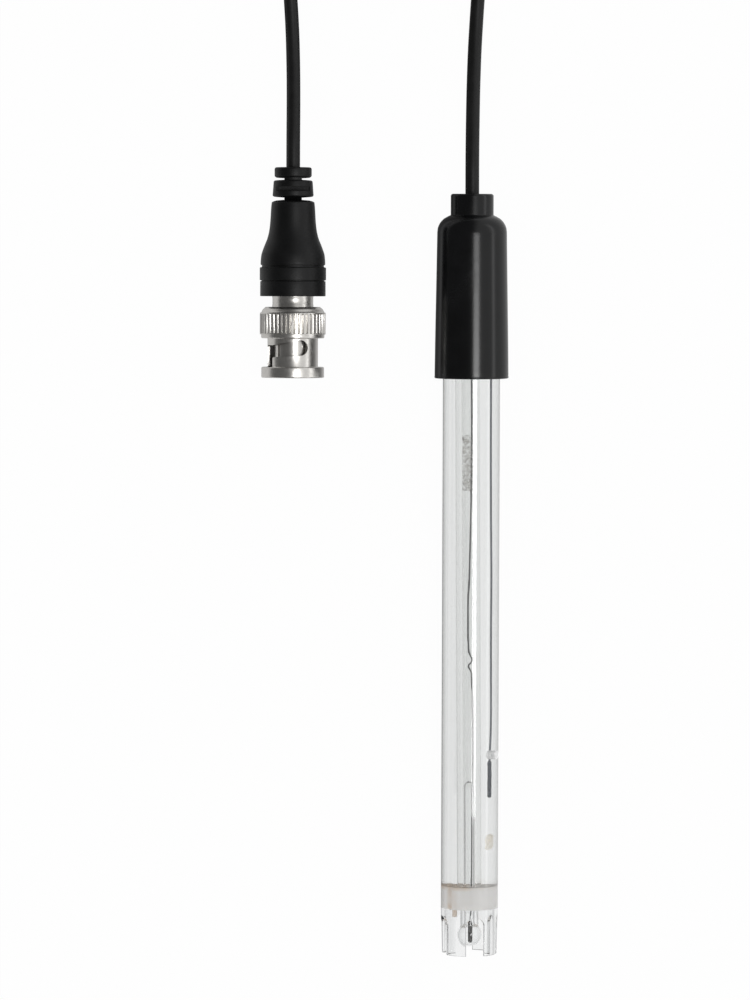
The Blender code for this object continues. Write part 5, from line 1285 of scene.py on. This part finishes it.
class ELECTRODE_OT_stage(bpy.types.Operator):
    """Set up the white floor, the soft lamp, the world and the camera"""

    bl_idname = "electrode.stage"
    bl_label = "Stage"

    def execute(self, context):
        self.floor()
        self.world(context.scene)
        self.lamp("key_lamp", (0.22, -0.0575, 0.91), (0.28, 0.265), 1.83)
        self.camera(context.scene)
        context.scene.view_settings.view_transform = "Standard"
        context.scene.cycles.max_bounces = 32
        context.scene.cycles.transmission_bounces = 32
        context.scene.cycles.glossy_bounces = 32
        return {"FINISHED"}

    def seen(self, tree):
        """The kinds of ray, and 1 for one from the camera or through glass, else 0."""
        rays = add(tree, "ShaderNodeLightPath").outputs
        return rays, maths(tree, "MAXIMUM", rays["Is Camera Ray"], rays["Is Transmission Ray"])

    def floor(self):
        """White where it is seen. Glass sees it darker at a slant, as painted shade, and metal sees
        it dimmed, with painted shadows in a strip left of the tube and under the plug.
        """
        shape = bmesh.new()
        bmesh.ops.create_grid(shape, x_segments=1, y_segments=1, size=3.0)
        mesh = mesh_of("floor", shape)
        material = bpy.data.materials.new("pale_floor")
        material.use_nodes = True
        tree = material.node_tree
        tree.nodes.clear()
        rays, direct = self.seen(tree)
        glossy, through = rays["Is Glossy Ray"], rays["Is Transmission Ray"]
        share = maths(tree, "MULTIPLY", maths(tree, "MAXIMUM", direct, glossy), 0.97)
        paint = add(tree, "ShaderNodeBsdfDiffuse", {"Color": (0.86, 0.86, 0.86, 1.0)})
        # Painted shade: glass sees the floor darker at a slant.
        slant = add(tree, "ShaderNodeLayerWeight", {"Blend": 0.5}).outputs["Facing"]
        bent = maths(tree, "MULTIPLY", remap(tree, slant, 0.12, 0.5, 0.0, 0.6), through)
        mirror = maths(tree, "SUBTRACT", glossy, through, clamp=True)
        # Painted shadows for mirrors: the floor is dimmed to 0.6, and down to 0.1 in a strip left of
        # the tube and under the plug.
        across = axes(tree, add(tree, "ShaderNodeTexCoord").outputs["Object"])["X"]
        left = remap(tree, across, -28.0 * MM, -16.0 * MM, 0.0, 0.5)
        under_tube = remap(tree, across, -4.0 * MM, 0.0, 0.0, 0.62)
        shade = maths(tree, "SUBTRACT", left, under_tube, clamp=True)
        from_plug = maths(tree, "ABSOLUTE", maths(tree, "SUBTRACT", across, PLUG_X))
        plug_shadow = remap(tree, from_plug, 5.5 * MM, 9.0 * MM, 0.9, 0.4)
        shade = maths(tree, "ADD", plug_shadow, shade)
        dimmed = maths(tree, "MULTIPLY_ADD", mirror, shade, bent)
        level = maths(tree, "SUBTRACT", 1.0, dimmed)
        glow = add(tree, "ShaderNodeEmission", {"Color": (1.0, 1.0, 1.0, 1.0), "Strength": level})
        layers = {0: share, 1: paint.outputs[0], 2: glow.outputs[0]}
        mix = add(tree, "ShaderNodeMixShader", layers)
        add(tree, "ShaderNodeOutputMaterial", {"Surface": mix.outputs[0]})
        mesh.materials.append(material)
        linked("floor", mesh)

    def world(self, scene):
        """White where it is seen, and for mirrors a dark dome over a white horizon."""
        world = bpy.data.worlds.new("studio")
        world.use_nodes = True
        tree = world.node_tree
        tree.nodes.clear()
        rays, direct = self.seen(tree)
        way = axes(tree, add(tree, "ShaderNodeTexCoord").outputs["Generated"])
        right = remap(tree, way["X"], 0.02, 0.3, 0.11, 0.8)
        low = remap(tree, way["Z"], 0.0, 0.07, 0.35, 0.0)
        dome = maths(tree, "MAXIMUM", right, low)
        height = maths(tree, "ABSOLUTE", maths(tree, "SUBTRACT", way["Z"], WINDOW_HEIGHT))
        window = remap(tree, height, 0.04, 0.11, 1.6, 0.0)
        side = remap(tree, way["X"], 0.5, 0.8, 0.0, 1.0)
        dome = maths(tree, "MULTIPLY_ADD", window, side, dome)
        strength = self.either(tree, rays["Is Glossy Ray"], 0.8, dome)
        strength = self.either(tree, direct, strength, 1.0)
        light = add(tree, "ShaderNodeBackground", {"Strength": strength})
        add(tree, "ShaderNodeOutputWorld", {"Surface": light.outputs[0]})
        scene.world = world

    def either(self, tree, share, first, second):
        inputs = {0: share, 2: first, 3: second}
        return add(tree, "ShaderNodeMix", inputs, data_type="FLOAT").outputs[0]

    def lamp(self, name, place, size, power):
        """A soft box aimed at the electrode."""
        light = bpy.data.lights.new(name, "AREA")
        light.shape = "RECTANGLE"
        light.size, light.size_y = size
        light.energy = power
        back = Vector((place[0], 0.0, place[2])).normalized()
        along = Vector((0.0, 1.0, 0.0))
        turn = Matrix((along.cross(back), along, back)).transposed().to_4x4()
        obj = linked(name, light)
        obj.matrix_world = Matrix.Translation(place) @ turn
        obj.visible_transmission = False

    def camera(self, scene):
        """The photograph's view of the part, from above."""
        sensor = 24.0
        lens = bpy.data.cameras.new("camera")
        lens.sensor_fit = "VERTICAL"
        lens.sensor_height = sensor
        lens.lens = sensor * (CAMERA_PLACE - VIEW_MIDDLE).length / VIEW_HEIGHT
        lens.clip_start = 0.01
        lens.clip_end = 20.0
        back = (CAMERA_PLACE - VIEW_MIDDLE).normalized()
        right = Vector((0.0, 1.0, 0.0)).cross(back).normalized()
        turn = Matrix((right, back.cross(right), back)).transposed().to_4x4()
        roll = Matrix.Rotation(CAMERA_ROLL, 4, "Z")
        camera = linked("camera", lens)
        camera.matrix_world = Matrix.Translation(CAMERA_PLACE) @ turn @ roll
        scene.camera = camera


class ELECTRODE_PT_panel(bpy.types.Panel):
    """The electrode's settings and builders"""

    bl_label = "Electrode"
    bl_idname = "ELECTRODE_PT_panel"
    bl_space_type = "VIEW_3D"
    bl_region_type = "UI"
    bl_category = "Electrode"

    def draw(self, context):
        scene = context.scene
        for group in (scene.electrode_probe, scene.electrode_plug, scene.electrode_finishes):
            box = self.layout.box()
            for name in group.__annotations__:
                box.prop(group, name)
        for builder in BUILDERS:
            self.layout.operator(builder.bl_idname)


BUILDERS = (
    ELECTRODE_OT_tube,
    ELECTRODE_OT_cap,
    ELECTRODE_OT_stem,
    ELECTRODE_OT_gel,
    ELECTRODE_OT_seal,
    ELECTRODE_OT_wires,
    ELECTRODE_OT_nut,
    ELECTRODE_OT_shell,
    ELECTRODE_OT_spring,
    ELECTRODE_OT_contacts,
    ELECTRODE_OT_boot,
    ELECTRODE_OT_hidden,
    ELECTRODE_OT_cord,
    ELECTRODE_OT_stage,
)
CLASSES = (ProbeSizes, PlugSizes, Finishes, *BUILDERS, ELECTRODE_PT_panel)


def register():
    for item in CLASSES:
        bpy.utils.register_class(item)
    bpy.types.Scene.electrode_probe = PointerProperty(type=ProbeSizes)
    bpy.types.Scene.electrode_plug = PointerProperty(type=PlugSizes)
    bpy.types.Scene.electrode_finishes = PointerProperty(type=Finishes)


def unregister():
    del bpy.types.Scene.electrode_finishes
    del bpy.types.Scene.electrode_plug
    del bpy.types.Scene.electrode_probe
    for item in reversed(CLASSES):
        bpy.utils.unregister_class(item)


def main():
    register()
    make_materials()
    bpy.ops.electrode.tube()
    bpy.ops.electrode.cap()
    bpy.ops.electrode.stem()
    bpy.ops.electrode.gel()
    bpy.ops.electrode.seal()
    bpy.ops.electrode.wires()
    bpy.ops.electrode.nut()
    bpy.ops.electrode.shell()
    bpy.ops.electrode.spring()
    bpy.ops.electrode.contacts()
    bpy.ops.electrode.boot()
    bpy.ops.electrode.hidden()
    bpy.ops.electrode.cord()
    bpy.ops.electrode.stage()


if __name__ == "__main__":
    main()
